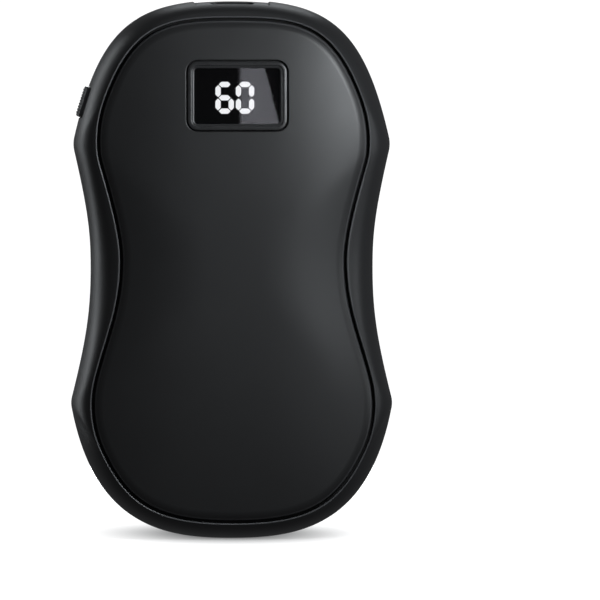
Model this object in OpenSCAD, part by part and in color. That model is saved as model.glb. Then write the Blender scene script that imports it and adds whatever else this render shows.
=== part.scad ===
// Rechargeable hand warmer with a two-digit display, a side button and charging sockets in its top end.
// Frame: +Z runs up the length, the display faces -Y and +X is to the right. Lengths are in millimetres.
// The origin lies under the middle of the case, level with the lowest point of its rounded foot.
// Depth, where a name says so, is the distance from the middle plane towards a face of the case.

/* [Case] */
// Length from the foot to the top of the rim; the sunk panel in its middle ends a little lower
case_len = 102.25; // [101:0.25:108]
// Thickness over the two crowned covers
case_depth = 25; // [25:0.1:27]
// Width over the hips, the widest place
hip_width = 61; // [60:0.5:66]
// Height of the hips above the foot
hip_height = 25.7; // [24:0.1:28]
// Radius of the soft edge at the hips
hip_round = 4.8; // [4:0.1:6]
// Width at the waist
waist_width = 53.6; // [53:0.2:57]
// Height of the waist, as a share of the length
waist_share = 0.5027; // [0.48:0.001:0.52]
// Width over the shoulders
shoulder_width = 60.1; // [59.5:0.1:64]
// Distance of the shoulders below the top
shoulder_drop = 27.35; // [26.3:0.05:29]
// Radius of the soft edge at the shoulders
shoulder_round = 6; // [5:0.1:7]
// Wall of the two case halves
wall = 2; // [1.8:0.1:2.3]

/* [Covers] */
// Width of a cover at the hips, to the middle of its groove
cover_hip_width = 53.3; // [52.6:0.1:54.5]
// Radius of the cover's outline at the hips
cover_hip_round = 20.6; // [18:0.2:23]
// Width of a cover at the waist
cover_waist_width = 42.5; // [42:0.1:44]
// Width of a cover at the shoulders
cover_shoulder_width = 51.2; // [50.6:0.1:52]
// Radius of the cover's outline at the shoulders
cover_shoulder_round = 23.4; // [20:0.2:25]
// Width of the rim above a cover
rim_top = 3.4; // [3.2:0.05:3.9]
// Width of the rim below a cover
rim_foot = 3.4; // [3.1:0.1:3.8]
// Height that a cover's middle stands above its edge
crown = 2.4; // [2.1:0.1:2.5]
// Thickness of a cover
cover_t = 1.3; // [1.2:0.05:1.4]
// Width of the rolled edge of a cover
roll_w = 1.3; // [1.1:0.1:1.5]
// Height that a cover's edge rolls down
roll_drop = 0.4; // [0.3:0.05:0.5]
// Width of the groove round a cover
groove = 0.5; // [0.4:0.05:0.6]

/* [Display] */
// Width of the bezel
bezel_w = 18.9; // [18.6:0.1:19.6]
// Height of the bezel
bezel_h = 13.1; // [12.9:0.1:13.5]
// Distance of the bezel's middle below the top
bezel_drop = 17.95; // [17.6:0.05:18.6]
// Sideways offset of the bezel from the middle
bezel_x = 0.7; // [0:0.1:1]
// Width of the ring round the window
bezel_ring = 1.25; // [1.1:0.05:1.4]
// Height of a digit
digit_h = 6.05; // [5.5:0.05:6.5]
// Width of a digit
digit_w = 3.5; // [3.2:0.05:3.8]
// Width of a lit bar of a digit
bar_w = 1; // [0.8:0.05:1.1]

/* [Button] */
// Length of the button along the side of the case
button_len = 5.9; // [5.2:0.1:6.2]
// Width of the button across the side of the case
button_w = 8; // [7:0.1:8.4]
// Height that the button stands out
button_proud = 0.75; // [0.6:0.05:1]
// Travel of the button
button_travel = 0.4; // [0.3:0.05:0.5]
// Pitch of the ribs on the button
button_rib_pitch = 0.56; // [0.5:0.02:0.7]
// Radius of the button's face, curved like the side of the case
button_crown_r = 20; // [16:1:30]

/* [Ports] */
// Width of the port panel
panel_w = 14; // [13.8:0.1:15]
// Depth of the port panel from front to back
panel_depth = 11.6; // [11.2:0.1:12]
// Depth that the port panel is sunk below the end of the case
panel_sink = 0.25; // [0.2:0.05:0.5]
// Width of the wide socket's metal shell
usb_a_w = 13.1; // [13:0.05:13.2]
// Height of the wide socket's metal shell
usb_a_h = 5.7; // [5.6:0.05:5.8]
// Width of the small socket's metal shell
usb_c_w = 8.94; // [8.8:0.02:9]
// Height of the small socket's metal shell
usb_c_h = 3.16; // [3.1:0.02:3.3]

/* [Battery] */
// Depth on each side of the cells for the heaters and the cover
cell_side_room = 3.3; // [3.25:0.05:3.45]
// Length above the cells for the board and the sockets
cell_end_room = 28.75; // [28.7:0.05:29.5]
// Gap between the two cells
cell_gap = 0.6; // [0.4:0.1:0.8]
// Height of the cells' lower end above the foot
cell_z = 8.5; // [8.2:0.1:8.7]

/* [Heaters] */
// Thickness of an aluminium heat plate
plate_t = 0.6; // [0.5:0.05:0.65]
// Thickness of a heater film
film_t = 0.15; // [0.12:0.01:0.2]

/* [Board] */
// Thickness of the circuit board
board_t = 1.2; // [1:0.1:1.4]
// Distance of the board's front face in front of the middle plane
board_front = 1.9; // [1.7:0.05:2.1]

/* [Screws] */
// Diameter of the screws
screw_d = 2; // [1.8:0.1:2.2]
// Diameter of the case screws' heads
screw_head_d = 3.6; // [3.4:0.1:3.8]

/* [Hidden] */
waist_height = case_len * waist_share;
bezel_z = case_len - bezel_drop;
shoulder_height = case_len - shoulder_drop;

// The cells are a standard size: 18.4 across and 65 long with their button tops.
cell_d = case_depth - 2 * cell_side_room;
cell_len = case_len - cell_z - cell_end_room;
cell_pitch = cell_d + cell_gap;

// Outline of the case: lean of the sides at each end of a soft edge, in degrees, and reach of each curve.
hip_leans = [10.7, 14];
shoulder_leans = [13, 12.8];
case_reach_shares = [[0.31, 0.6], [0.46, 0.33], [0.28, 0.54], [0.55, 0.46]];
// Outline of a cover, in the same way.
cover_hip_leans = [25.4, 14.6];
cover_shoulder_leans = [6, 20];
cover_reach_shares = [[0.52, 0.39], [0.38, 0.39], [0.34, 0.1], [0.54, 0.43]];
cover_hip_drop = 0.1;
cover_hip_height = hip_height - cover_hip_drop;
cover_waist_rise = 1.7;
cover_waist_height = waist_height + cover_waist_rise;
cover_shoulder_rise = 0.7;
cover_shoulder_height = shoulder_height + cover_shoulder_rise;

// Steps of the outline's curves and arcs, and of the rim's round.
curve_steps = [12, 5, 5, 12];
arc_steps = 4;
rim_steps = 7;
crown_steps = 7;
roll_shares = [0, 0.12, 0.45, 1];

// The rim is part of an ellipse that ends at this angle, in degrees, where it meets the groove.
rim_end = 78;
// A cover is flat within this share of its outline and falls by this power outside it.
flat_share = 0.2;
crown_power = 2.3;

// Small sizes of the case halves.
overrun = 1;
edge_round = 0.15;
seam_chamfer = 0.15;
rim_drop = 0.2;
seat_t = 1.5;
ledge_t = 1.2;
ledge_share = 0.86;
cover_seat_share = 0.89;
lip_t = 0.9;
lip_h = 0.8;
lip_gap = 0.1;
rib_t = 1.2;
rib_gap = 0.15;
rib_shares = [0.123, 0.477, 0.862];
rib_heights = [for (share = rib_shares) cell_z + share * cell_len];
stop_t = 1.5;
boss_d = 5.5;
boss_inset = 3.2;
bar_t = 2;
bar_gap = 0.6;
fine_gap = 0.05;
screw_gap = 0.02;

// Levels, as depths from the middle plane.
crown_depth = case_depth / 2;
cover_edge_depth = crown_depth - crown;
rim_depth = cover_edge_depth - rim_drop;
seat_depth = cover_edge_depth - seat_t;
ledge_depth = seat_depth - ledge_t;

// Battery.
cell_r = cell_d / 2;
cell_cap_d = 6;
cell_cap_h = 0.9;
ring_paper_t = 0.2;
ring_paper_d = 16;
cell_edge_round = 0.8;
strip_t = 0.2;
strip_w = 6;
strip_over = 3;
pad_t = 1.6;
pad_w = 30;
pad_inset = 2.7;
pad_depth = cell_d - 2 * pad_inset;
lead_d = 1.6;
lead_depth = 4.4;
bend_r = 1.6;
cell_top = cell_z + cell_len;
strip_top = cell_top + strip_t;

// Crossbar of each case half, between the heaters and the electronics.
crossbar_z = strip_top + bar_gap;
crossbar_top = crossbar_z + bar_t;
crossbar_inset = 2.1;
crossbar_reach = cover_shoulder_width / 2 - crossbar_inset;

// Heaters.
glue_t = 0.06;
plate_share = 0.74;
film_share = 0.72;
foam_share = 0.66;
foam_gap = 0.1;
heater_rise = 0.5;
heater_top = cell_top + heater_rise;
foam_short = 3;
foam_top = heater_top - foam_short;
tail_x = 14;
tail_w = 4;
tail_share = 0.67;
tail_fold = 1.2;
bead_r = 1.3;
bead_share = 0.608;
bead_z = cell_z + bead_share * cell_len;
bead_lead_r = 0.35;
bead_lead_in = 1.15;
bead_lead_rises = [0.3, 3.2];
bead_leads = [for (rise = bead_lead_rises) crossbar_top + rise];

// Board.
board_rise = 1.3;
board_z = crossbar_z + board_rise;
board_end_gap = 4;
board_top = case_len - board_end_gap;
board_low_half = 18.4;
board_half = 22;
board_wide_place = 3.8;
board_wide_z = board_z + board_wide_place;
board_slope_place = 10.4;
board_slope_z = board_z + board_slope_place;
board_mid_half = 18.5;
board_mid_place = 19.4;
board_mid_z = board_z + board_mid_place;
board_top_half = 10;
board_back = board_front - board_t;
post_d = 4.4;
post_x = 16.5;
post_place = 15.9;
post_z = board_z + post_place;
rest_d = 3.2;
rest_x = 15;
rest_place = 0.4;
rest_z = board_z + rest_place;
board_screw_len = 4;
board_screw_head_h = 1.2;

// Case screws.
screw_z = [hip_height, shoulder_height];
screw_x = [cover_hip_width / 2 - boss_inset, cover_shoulder_width / 2 - boss_inset];
screw_sink = 1.6;
screw_head_h = 1.4;
screw_hole_gap = 0.15;
screw_reach = 4;
screw_head_gap = 0.3;
cross_w = 0.5;
cross_len = 2;
cross_depth = 0.7;

// Bezel and window.
bezel_round = 2;
bezel_gap = 0.25;
bezel_proud = 0.02;
bezel_edge = 0.25;
bezel_lip = 0.45;
bezel_body = 1.75;
bezel_flange = 0.8;
bezel_flange_t = 0.7;
landing = 1;
window_t = 1.2;
window_ledge = 0.4;
window_gap = 0.1;
window_round = 0.7;
module_gap = 0.15;
module_w = 16;
module_h = 10.6;
module_t = 4.6;
holder_wall = 1.2;
holder_over = 0.5;
digit_gap = 0.36;
digit_shift_x = -0.4;
digit_shift_z = -0.41;
bar_cut = 0.1;
bar_proud = 0.08;
pin_d = 0.5;
pin_pitch = 2.54;

// Button and its switch.
button_along_share = 0.115;
button_gap = 0.15;
button_round = 0.6;
button_rib_h = 0.15;
button_flange = 0.8;
button_flange_t = 0.8;
button_flange_gap = 1.25;
button_flange_at = wall + button_flange_gap;
stem_d = 2.4;
stem_len = 0.85;
plunger_w = 2.2;
plunger_h = 0.8;
plunger_out = 1.1;
plunger_in = 1.2;
plunger_gap = 0.1;
switch_len = 6;
switch_deep = 3;
switch_h = 1.4;
dome_t = 0.1;
dome_gap = 0.02;
dome_rise = button_travel + dome_gap;
stem_end = button_flange_at + button_flange_t + stem_len;
plunger_tip = stem_end + fine_gap;
switch_face = plunger_tip + plunger_out;

// Sockets and port panel.
panel_gap = 0.1;
panel_t = 1.7;
panel_round = 1;
panel_slope = 0.4;
mouth_z = case_len - panel_sink - panel_t;
socket_z = mouth_z - fine_gap;
usb_a_len = 13.8;
usb_a_wall = 0.3;
usb_a_tongue_w = 11.1;
usb_a_tongue_t = 1.84;
usb_a_tongue_sink = 2.2;
usb_a_tongue_shift = 0.75;
usb_a_base = 2.5;
usb_a_contact_w = 1;
usb_a_contact_t = 0.25;
usb_a_contact_len = 6.5;
usb_a_contact_places = [-3.5, -1, 1, 3.5];
usb_c_len = 7.3;
usb_c_wall = 0.29;
usb_c_tongue_w = 6.7;
usb_c_tongue_t = 0.7;
usb_c_tongue_sink = 0.8;
usb_c_base = 1.6;
port_clear = 0.06;

// Small parts on the board: width, height and thickness, and place from the board's lower edge.
controller = [5, 5, 0.9];
controller_at = [-14.5, 9.5];
charger = [4, 4, 0.9];
charger_at = [12, 8.5];
inductor = [6.6, 6.6, 3];
inductor_at = [-9.5, 7.2];
capacitor = [1.6, 3.2, 1.6];
front_capacitors = [[13, 10.5], [16, 10.5], [19, 10.5], [-13, 19.4]];
back_capacitors = [[-3.6, 7], [8.6, 14], [11.4, 14], [-9.2, 14.5]];
connector = [5.4, 3.6, 3];
connector_at = [tail_x, 4.2];
positive_lead_x = -cell_pitch / 2;
positive_lead_over = 2.4;
positive_lead_top = board_z + positive_lead_over;

// Outlines

function mix(a, b, share) = a + (b - a) * share;
function leaning(a) = [-sin(a), cos(a)];
function arc_points(centre, r, from, to, steps) =
    [for (i = [0:steps]) let (a = mix(from, to, i / steps)) centre + r * [cos(a), sin(a)]];

// A point on a smooth curve from p to q that leaves and arrives in the given directions.
function curve_point(p, p_dir, q, q_dir, reach, t) =
    let (span = norm(q - p), u = 1 - t)
    u * u * u * p + 3 * u * u * t * (p + p_dir * reach[0] * span)
    + 3 * u * t * t * (q - q_dir * reach[1] * span) + t * t * t * q;
function curve_points(p, p_dir, q, q_dir, reach, steps) =
    [for (i = [1:steps - 1]) curve_point(p, p_dir, q, q_dir, reach, i / steps)];

// The round of a soft edge: its centre and radius, drawn in by an inset.
function soft_edge(half, height, r, leans, inset) =
    let (small = max(r - inset, r / 5))
    arc_points([half - inset - small, height], small, -leans[0], leans[1], arc_steps);

// Right half of an outline, from the foot to the top, as points of x and z.
function half_outline(foot, top, hip, waist, shoulder, hip_lean, shoulder_lean, reach, inset) =
    let (hip_arc = soft_edge(hip[0], hip[1], hip[2], hip_lean, inset),
        shoulder_arc = soft_edge(shoulder[0], shoulder[1], shoulder[2], shoulder_lean, inset),
        low = [0, foot + inset],
        high = [0, top - inset],
        middle = [waist[0] - inset, waist[1]],
        hip_end = hip_arc[arc_steps],
        shoulder_end = shoulder_arc[arc_steps])
    concat([low], curve_points(low, [1, 0], hip_arc[0], leaning(-hip_lean[0]), reach[0], curve_steps[0]),
        hip_arc,
        curve_points(hip_end, leaning(hip_lean[1]), middle, [0, 1], reach[1], curve_steps[1]),
        [middle],
        curve_points(middle, [0, 1], shoulder_arc[0], leaning(-shoulder_lean[0]), reach[2], curve_steps[2]),
        shoulder_arc,
        curve_points(shoulder_end, leaning(shoulder_lean[1]), high, [-1, 0], reach[3], curve_steps[3]),
        [high]);

function case_half(inset) = half_outline(0, case_len, [hip_width / 2, hip_height, hip_round],
    [waist_width / 2, waist_height], [shoulder_width / 2, shoulder_height, shoulder_round],
    hip_leans, shoulder_leans, case_reach_shares, inset);
function cover_half(inset) = half_outline(rim_foot, case_len - rim_top,
    [cover_hip_width / 2, cover_hip_height, cover_hip_round],
    [cover_waist_width / 2, cover_waist_height],
    [cover_shoulder_width / 2, cover_shoulder_height, cover_shoulder_round],
    cover_hip_leans, cover_shoulder_leans, cover_reach_shares, inset);

function closed(half) = concat(half, [for (i = [len(half) - 2:-1:1]) [-half[i].x, half[i].y]]);
function case_outline(inset) = closed(case_half(inset));
function cover_outline(inset) = closed(cover_half(inset));
function blend(a, b, share) = [for (i = [0:len(a) - 1]) mix(a[i], b[i], share)];

cover_mid_z = (rim_foot + case_len - rim_top) / 2;
function drawn_in(outline, share) =
    [for (p = outline) [p.x * share, mix(cover_mid_z, p.y, share)]];
function every_second(outline) = [for (i = [0:2:len(outline) - 1]) outline[i]];

// Rim and crown

function rim_share(a) = (1 - cos(a)) / (1 - cos(rim_end));
function rim_angle(depth) = asin(min(1, depth / rim_depth) * sin(rim_end));
function rim_share_at(depth) = rim_share(rim_angle(depth));
function crown_at(share) =
    crown_depth - crown * pow(max(0, (share - flat_share) / (1 - flat_share)), crown_power);
function centre_reach(p) = norm([p.x, p.y - cover_mid_z]);
// How much of the roll's drop is left at a share of its width, a quarter round.
function roll_left(share) = 1 - sqrt(1 - pow(1 - share, 2));
function crown_at_height(z) = crown_at(abs(z - cover_mid_z) / (case_len - rim_top - cover_mid_z));

// Half width of the case at a height and depth, and height of its ends at a distance from the middle.
case_sides = [for (p = case_half(0)) [p.y, p.x]];
cover_sides = [for (p = cover_half(0)) [p.y, p.x]];
case_foot = [for (i = [0:curve_steps[0]]) case_half(0)[i]];
cover_foot = [for (i = [0:curve_steps[0]]) cover_half(0)[i]];
outline_end = len(case_half(0)) - 1;
case_end = [for (i = [0:curve_steps[3]]) case_half(0)[outline_end - i]];
cover_end = [for (i = [0:curve_steps[3]]) cover_half(0)[outline_end - i]];
function side_x(z, depth) = mix(lookup(z, case_sides), lookup(z, cover_sides), rim_share_at(depth));
function foot_z(x, depth) = mix(lookup(abs(x), case_foot), lookup(abs(x), cover_foot), rim_share_at(depth));
function end_z(x, depth) = mix(lookup(abs(x), case_end), lookup(abs(x), cover_end), rim_share_at(depth));

// Lofts

function ring(outline, depth) = [for (p = outline) [p.x, -depth, p.y]];
function flat_list(lists) = [for (one = lists) each one];

// A closed band: each ring joins the next, and the last joins the first.
module band(rings) {
    around = len(rings[0]);
    count = len(rings);
    polyhedron(flat_list(rings), flat_list([for (i = [0:count - 1], j = [0:around - 1])
        let (k = (i + 1) % count, l = (j + 1) % around)
        [[i * around + j, k * around + l, i * around + l], [i * around + j, k * around + j, k * around + l]]]),
        convexity = 6);
}

// A closed body between two poles: the first ring closes on one point and the last on another.
module body_of_rings(rings, first_pole, last_pole) {
    around = len(rings[0]);
    count = len(rings);
    ends = around * count;
    polyhedron(concat(flat_list(rings), [first_pole, last_pole]),
        concat(flat_list([for (i = [0:count - 2], j = [0:around - 1])
            let (l = (j + 1) % around)
            [[i * around + j, (i + 1) * around + l, i * around + l],
             [i * around + j, (i + 1) * around + j, (i + 1) * around + l]]]),
            [for (j = [0:around - 1]) [ends, j, (j + 1) % around]],
            [for (j = [0:around - 1]) [ends + 1, (count - 1) * around + (j + 1) % around,
                (count - 1) * around + j]]),
        convexity = 6);
}

// Helpers

// Stands a flat shape drawn in x and z upright, from y_low to y_low + thick.
module slab(y_low, thick) {
    translate([0, y_low + thick, 0]) rotate([90, 0, 0]) linear_extrude(thick) children();
}

module rounded_rect(w, h, r) {
    square([w - 2 * r, h], center = true);
    square([w, h - 2 * r], center = true);
    for (x = [-1, 1], y = [-1, 1])
        translate([x * (w / 2 - r), y * (h / 2 - r)]) circle(r, $fn = 32);
}

module box_at(centre, size) {
    translate(centre) cube(size, center = true);
}

module rear_side() {
    mirror([0, 1, 0]) children();
}

// Case halves

groove_out = cover_outline(-groove / 2);
cover_edge = cover_outline(groove / 2);

function inner_wall(depth) =
    ring(blend(case_outline(wall), cover_outline(wall - groove / 2), rim_share_at(depth)), depth);

rim_rings = concat([ring(case_outline(seam_chamfer), 0)],
    [for (i = [0:rim_steps])
        let (depth = max(seam_chamfer, rim_depth * sin(rim_end * i / rim_steps) / sin(rim_end)))
        ring(blend(case_outline(0), cover_outline(-groove / 2 - edge_round), rim_share_at(depth)), depth)],
    [ring(groove_out, rim_depth - edge_round),
     ring(groove_out, seat_depth),
     ring(drawn_in(cover_outline(0), ledge_share), seat_depth),
     ring(drawn_in(cover_outline(0), ledge_share), ledge_depth)]);

module shell_band(lip_rings) {
    band(concat(rim_rings, [for (i = [3:-1:1]) inner_wall(ledge_depth * i / 3)], lip_rings));
}

// Room for the cells, between the ribs and in the lower end of the ledges and covers.
module cell_room() {
    for (s = [-1, 1])
        translate([s * cell_pitch / 2, 0, cell_z - rib_gap])
            cylinder(h = cell_len + 2 * rib_gap, r = cell_r + rib_gap, $fn = 96);
}

// Ribs beside the cells at one height, on both sides, that hold the cells. They start at the depth seam.
module cradle_rib(z, seam) {
    depths = [for (i = [0:4]) mix(seam, ledge_depth + ledge_t / 2, i / 4)];
    for (s = [-1, 1])
        translate([0, 0, z - rib_t / 2])
            linear_extrude(rib_t)
                polygon(concat([for (d = depths) [s * (side_x(z, d) - wall / 2), -d]],
                    [[s * cell_pitch / 2, -depths[4]], [s * cell_pitch / 2, -depths[0]]]));
}

// A rib that stands on the foot's wall and stops the cells' end pad. It starts at the depth seam.
module foot_rib(x, seam) {
    depths = [for (i = [0:4]) mix(seam, ledge_depth + ledge_t / 2, i / 4)];
    translate([x - stop_t / 2, 0, 0]) rotate([90, 0, 90])
        linear_extrude(stop_t)
            polygon(concat([for (d = depths) [-d, foot_z(x, d) + wall / 2]],
                [[-depths[4], cell_z - strip_t - pad_t], [-depths[0], cell_z - strip_t - pad_t]]));
}

module bosses(d, from, to) {
    for (i = [0, 1], s = [-1, 1])
        translate([s * screw_x[i], -from, screw_z[i]]) rotate([90, 0, 0])
            cylinder(h = to - from, d = d, $fn = 40);
}

module shell_frame(lip_rings, seam) {
    shell_band(lip_rings);
    for (z = rib_heights) cradle_rib(z, seam);
    for (s = [-1, 1]) foot_rib(s * cell_pitch / 2, seam);
    bosses(boss_d, 0, seat_depth);
    translate([-crossbar_reach, -seat_depth, crossbar_z])
        cube([2 * crossbar_reach, ledge_t, crossbar_top - crossbar_z]);
}

// Opening for the port panel, with the sloped ends of its recess.
module port_notch() {
    half = panel_w / 2 + panel_gap;
    translate([0, 0, case_len - panel_sink - wall - panel_t - rim_top])
        linear_extrude(wall + panel_t + rim_top + overrun)
            rounded_rect(2 * half, panel_depth + 2 * panel_gap, panel_round + panel_gap);
    slab(-panel_depth / 2 - panel_gap, panel_depth + 2 * panel_gap)
        polygon([[-half, end_z(half, 0) - panel_sink], [half, end_z(half, 0) - panel_sink],
            [half + panel_slope + overrun, case_len - panel_sink + overrun + panel_slope],
            [-half - panel_slope - overrun, case_len - panel_sink + overrun + panel_slope]]);
}

// Button place: local -X points out of the case and local Z runs up its side.
shoulder_arc_end = soft_edge(shoulder_width / 2, shoulder_height, shoulder_round, shoulder_leans, 0)[arc_steps];
function upper_side(t) = curve_point(shoulder_arc_end, leaning(shoulder_leans[1]), [0, case_len], [-1, 0],
    case_reach_shares[3], t);
tangent_step_share = 0.01;
button_place = upper_side(button_along_share);
button_run = upper_side(button_along_share + tangent_step_share) - button_place;
button_lean = atan2(-button_run.x, button_run.y);

module at_button() {
    translate([-button_place.x, 0, button_place.y]) rotate([0, button_lean, 0]) children();
}

// A block with rounded ends that runs inwards from x_low, for the button and its slot.
module button_block(x_low, deep, len_z, w_y, r) {
    translate([x_low, 0, 0]) rotate([0, 90, 0]) linear_extrude(deep) rounded_rect(len_z, w_y, r);
}

module button_slot() {
    at_button() button_block(-button_proud - overrun, button_proud + button_flange_at + overrun,
        button_len + 2 * button_gap, button_w + 2 * button_gap, button_round + button_gap);
}

module front_shell() {
    color([0.1, 0.1, 0.11]) difference() {
        union() {
            shell_frame([ring(case_outline(wall), -lip_h), ring(case_outline(wall - lip_t), -lip_h),
                ring(case_outline(wall - lip_t), 0)], rib_gap);
            for (s = [-1, 1]) {
                translate([s * post_x, -board_front, post_z]) rotate([90, 0, 0])
                    cylinder(h = ledge_depth + ledge_t / 2 - board_front, d = post_d, $fn = 32);
                translate([s * rest_x, -board_front, rest_z]) rotate([90, 0, 0])
                    cylinder(h = ledge_depth + ledge_t / 2 - board_front, d = rest_d, $fn = 32);
            }
        }
        bosses(screw_d + 2 * screw_gap, -overrun, screw_reach + screw_head_gap);
        for (s = [-1, 1])
            translate([s * post_x, -board_front + overrun, post_z]) rotate([90, 0, 0])
                cylinder(h = board_screw_len + overrun, d = screw_d + 2 * screw_gap, $fn = 32);
        cell_room();
        port_notch();
        button_slot();
    }
}

module rear_shell() {
    color([0.1, 0.1, 0.11]) difference() {
        rear_side() difference() {
            shell_frame([ring(case_outline(wall), lip_h + lip_gap),
                ring(case_outline(wall - lip_t - lip_gap), lip_h + lip_gap),
                ring(case_outline(wall - lip_t - lip_gap), 0)], lip_h + lip_gap);
            bosses(screw_d + 2 * screw_hole_gap, -overrun, seat_depth + overrun);
            bosses(screw_head_d + screw_head_gap, seat_depth - screw_sink, seat_depth + overrun);
        }
        cell_room();
        port_notch();
        button_slot();
    }
}

// Covers

function shares_to(last) = [for (i = [0:3]) mix(flat_share, last, i / 3)];

// A ring of the rolled edge, at a share of the roll's width in from the cover's edge.
function roll_ring(share) =
    let (line = cover_outline(groove / 2 + roll_w * share))
    [for (i = [0:len(line) - 1])
        [line[i].x, roll_drop * roll_left(share) - crown_at(centre_reach(line[i]) / centre_reach(cover_edge[i])),
            line[i].y]];

module crowned_cover() {
    shares = [for (i = [0:crown_steps]) mix(1, flat_share, i / crown_steps)];
    inner_shares = concat(shares_to(plate_share), [cover_seat_share]);
    body_of_rings(concat(
        [for (s = inner_shares) ring(drawn_in(cover_edge, s), crown_at(s) - cover_t)],
        [ring(drawn_in(cover_edge, cover_seat_share), seat_depth),
         ring(cover_edge, seat_depth)],
        [for (share = roll_shares) roll_ring(share)],
        [for (i = [1:crown_steps]) ring(drawn_in(cover_edge, shares[i]), crown_at(shares[i]))]),
        [0, -(crown_depth - cover_t), cover_mid_z], [0, -crown_depth, cover_mid_z]);
}

// Bezel place: local -Y points out of the cover, which leans back there.
bezel_face = crown_at_height(bezel_z) + bezel_proud;
bezel_tilt = atan2(crown_at_height(bezel_z - bezel_h / 2) - crown_at_height(bezel_z + bezel_h / 2), bezel_h);

module at_bezel() {
    translate([bezel_x, -bezel_face, bezel_z]) rotate([-bezel_tilt, 0, 0]) children();
}

module front_cover() {
    color([0.13, 0.13, 0.14]) difference() {
        union() {
            crowned_cover();
            at_bezel() slab(bezel_proud + cover_t / 2, bezel_body - bezel_proud - cover_t / 2)
                rounded_rect(bezel_w + 2 * landing, bezel_h + 2 * landing, bezel_round + landing);
        }
        at_bezel() slab(-overrun, bezel_body + 2 * overrun)
            rounded_rect(bezel_w + 2 * bezel_gap, bezel_h + 2 * bezel_gap, bezel_round + bezel_gap);
        cell_room();
    }
}

module rear_cover() {
    color([0.13, 0.13, 0.14]) difference() {
        rear_side() crowned_cover();
        cell_room();
    }
}

// Display

window_w = bezel_w - 2 * bezel_ring;
window_h = bezel_h - 2 * bezel_ring;

module display_bezel() {
    color([0.09, 0.09, 0.1]) at_bezel() difference() {
        union() {
            slab(0, bezel_proud)
                rounded_rect(bezel_w - 2 * bezel_edge, bezel_h - 2 * bezel_edge, bezel_round - bezel_edge);
            slab(bezel_proud, bezel_body - bezel_proud) rounded_rect(bezel_w, bezel_h, bezel_round);
            slab(bezel_body, bezel_flange_t)
                rounded_rect(bezel_w + 2 * bezel_flange, bezel_h + 2 * bezel_flange, bezel_round);
        }
        slab(-overrun, bezel_lip + 2 * overrun) rounded_rect(window_w, window_h, window_round);
        slab(bezel_lip, bezel_body + bezel_flange_t)
            rounded_rect(window_w + 2 * (window_ledge + window_gap), window_h + 2 * (window_ledge + window_gap),
                window_round + window_ledge);
    }
}

module display_window() {
    color([0.02, 0.02, 0.03, 0.5]) at_bezel() slab(bezel_lip, window_t)
        rounded_rect(window_w + 2 * window_ledge, window_h + 2 * window_ledge, window_round + window_ledge);
}

module_face = bezel_face - (bezel_lip + window_t) * cos(bezel_tilt)
    - (window_h / 2 + window_ledge) * sin(bezel_tilt) - module_gap;

module display_module() {
    color([0.05, 0.05, 0.05]) {
        box_at([bezel_x, -module_face + module_t / 2, bezel_z], [module_w, module_t, module_h]);
        for (i = [-2:2], s = [-1, 1])
            translate([bezel_x + i * pin_pitch, -board_front, bezel_z + s * (module_h / 2 - bar_w)])
                rotate([90, 0, 0]) cylinder(h = module_face - module_t / 2 - board_front, d = pin_d, $fn = 16);
    }
}

module display_holder() {
    w = module_w + 2 * holder_over;
    h = module_h + 2 * holder_over;
    color([0.85, 0.85, 0.83]) translate([bezel_x, 0, bezel_z]) difference() {
        slab(-(module_face - module_t), module_face - module_t - board_front) square([w, h], center = true);
        slab(-(module_face - module_t) - overrun, module_face + 2 * overrun)
            square([w - 2 * holder_wall, h - 2 * holder_wall], center = true);
    }
}

// One bar of a digit, a flat hexagon along x.
module bar_shape(length) {
    r = bar_w / 2;
    polygon([[-length / 2, 0], [-length / 2 + r, r], [length / 2 - r, r], [length / 2, 0],
        [length / 2 - r, -r], [-length / 2 + r, -r]]);
}

// The bars of a digit in the order top, upper right, lower right, bottom, lower left, upper left, middle.
module digit(bars) {
    across = digit_w - bar_w - 2 * bar_cut;
    up = (digit_h - bar_w) / 2 - 2 * bar_cut;
    x = (digit_w - bar_w) / 2;
    z = (digit_h - bar_w) / 2;
    places = [[0, z, 0], [x, z / 2, 90], [x, -z / 2, 90], [0, -z, 0], [-x, -z / 2, 90], [-x, z / 2, 90], [0, 0, 0]];
    for (i = bars)
        translate([places[i][0], places[i][1]]) rotate(places[i][2])
            bar_shape(places[i][2] == 0 ? across : up);
}

module both_digits(left_bars, right_bars) {
    shift = (digit_w + digit_gap) / 2;
    translate([bezel_x + digit_shift_x, 0, bezel_z + digit_shift_z]) slab(-module_face - bar_proud, bar_proud) {
        translate([-shift, 0]) digit(left_bars);
        translate([shift, 0]) digit(right_bars);
    }
}

module lit_segments() {
    color("white") both_digits([0, 2, 3, 4, 5, 6], [0, 1, 2, 3, 4, 5]);
}

module unlit_segments() {
    color([0.12, 0.12, 0.12]) both_digits([1], [6]);
}

// Button and switch

// Keeps what lies behind the button's curved face, or behind that face set back by a drop.
module behind_face(drop) {
    intersection() {
        children();
        translate([button_crown_r - button_proud, 0, 0])
            cylinder(h = 2 * button_len, r = button_crown_r - drop, center = true, $fn = 128);
    }
}

module side_button() {
    rib_count = floor((button_len / 2 - button_round) / button_rib_pitch);
    color([0.2, 0.2, 0.21]) at_button() {
        behind_face(button_rib_h)
            button_block(-button_proud, button_proud + button_flange_at, button_len, button_w, button_round);
        behind_face(0)
            for (i = [-rib_count:rib_count])
                box_at([0, 0, i * button_rib_pitch],
                    [2 * button_proud, button_w - 2 * button_round, button_rib_pitch / 2]);
        button_block(button_flange_at, button_flange_t, button_len + 2 * button_flange,
            button_w + 2 * button_flange, button_round);
        rotate([0, 90, 0]) cylinder(h = stem_end, d = stem_d, $fn = 32);
    }
}

module switch_plunger() {
    color([0.9, 0.9, 0.88]) at_button()
        box_at([plunger_tip + (plunger_out + plunger_in) / 2, 0, 0],
            [plunger_out + plunger_in, plunger_h, plunger_w]);
}

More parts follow.
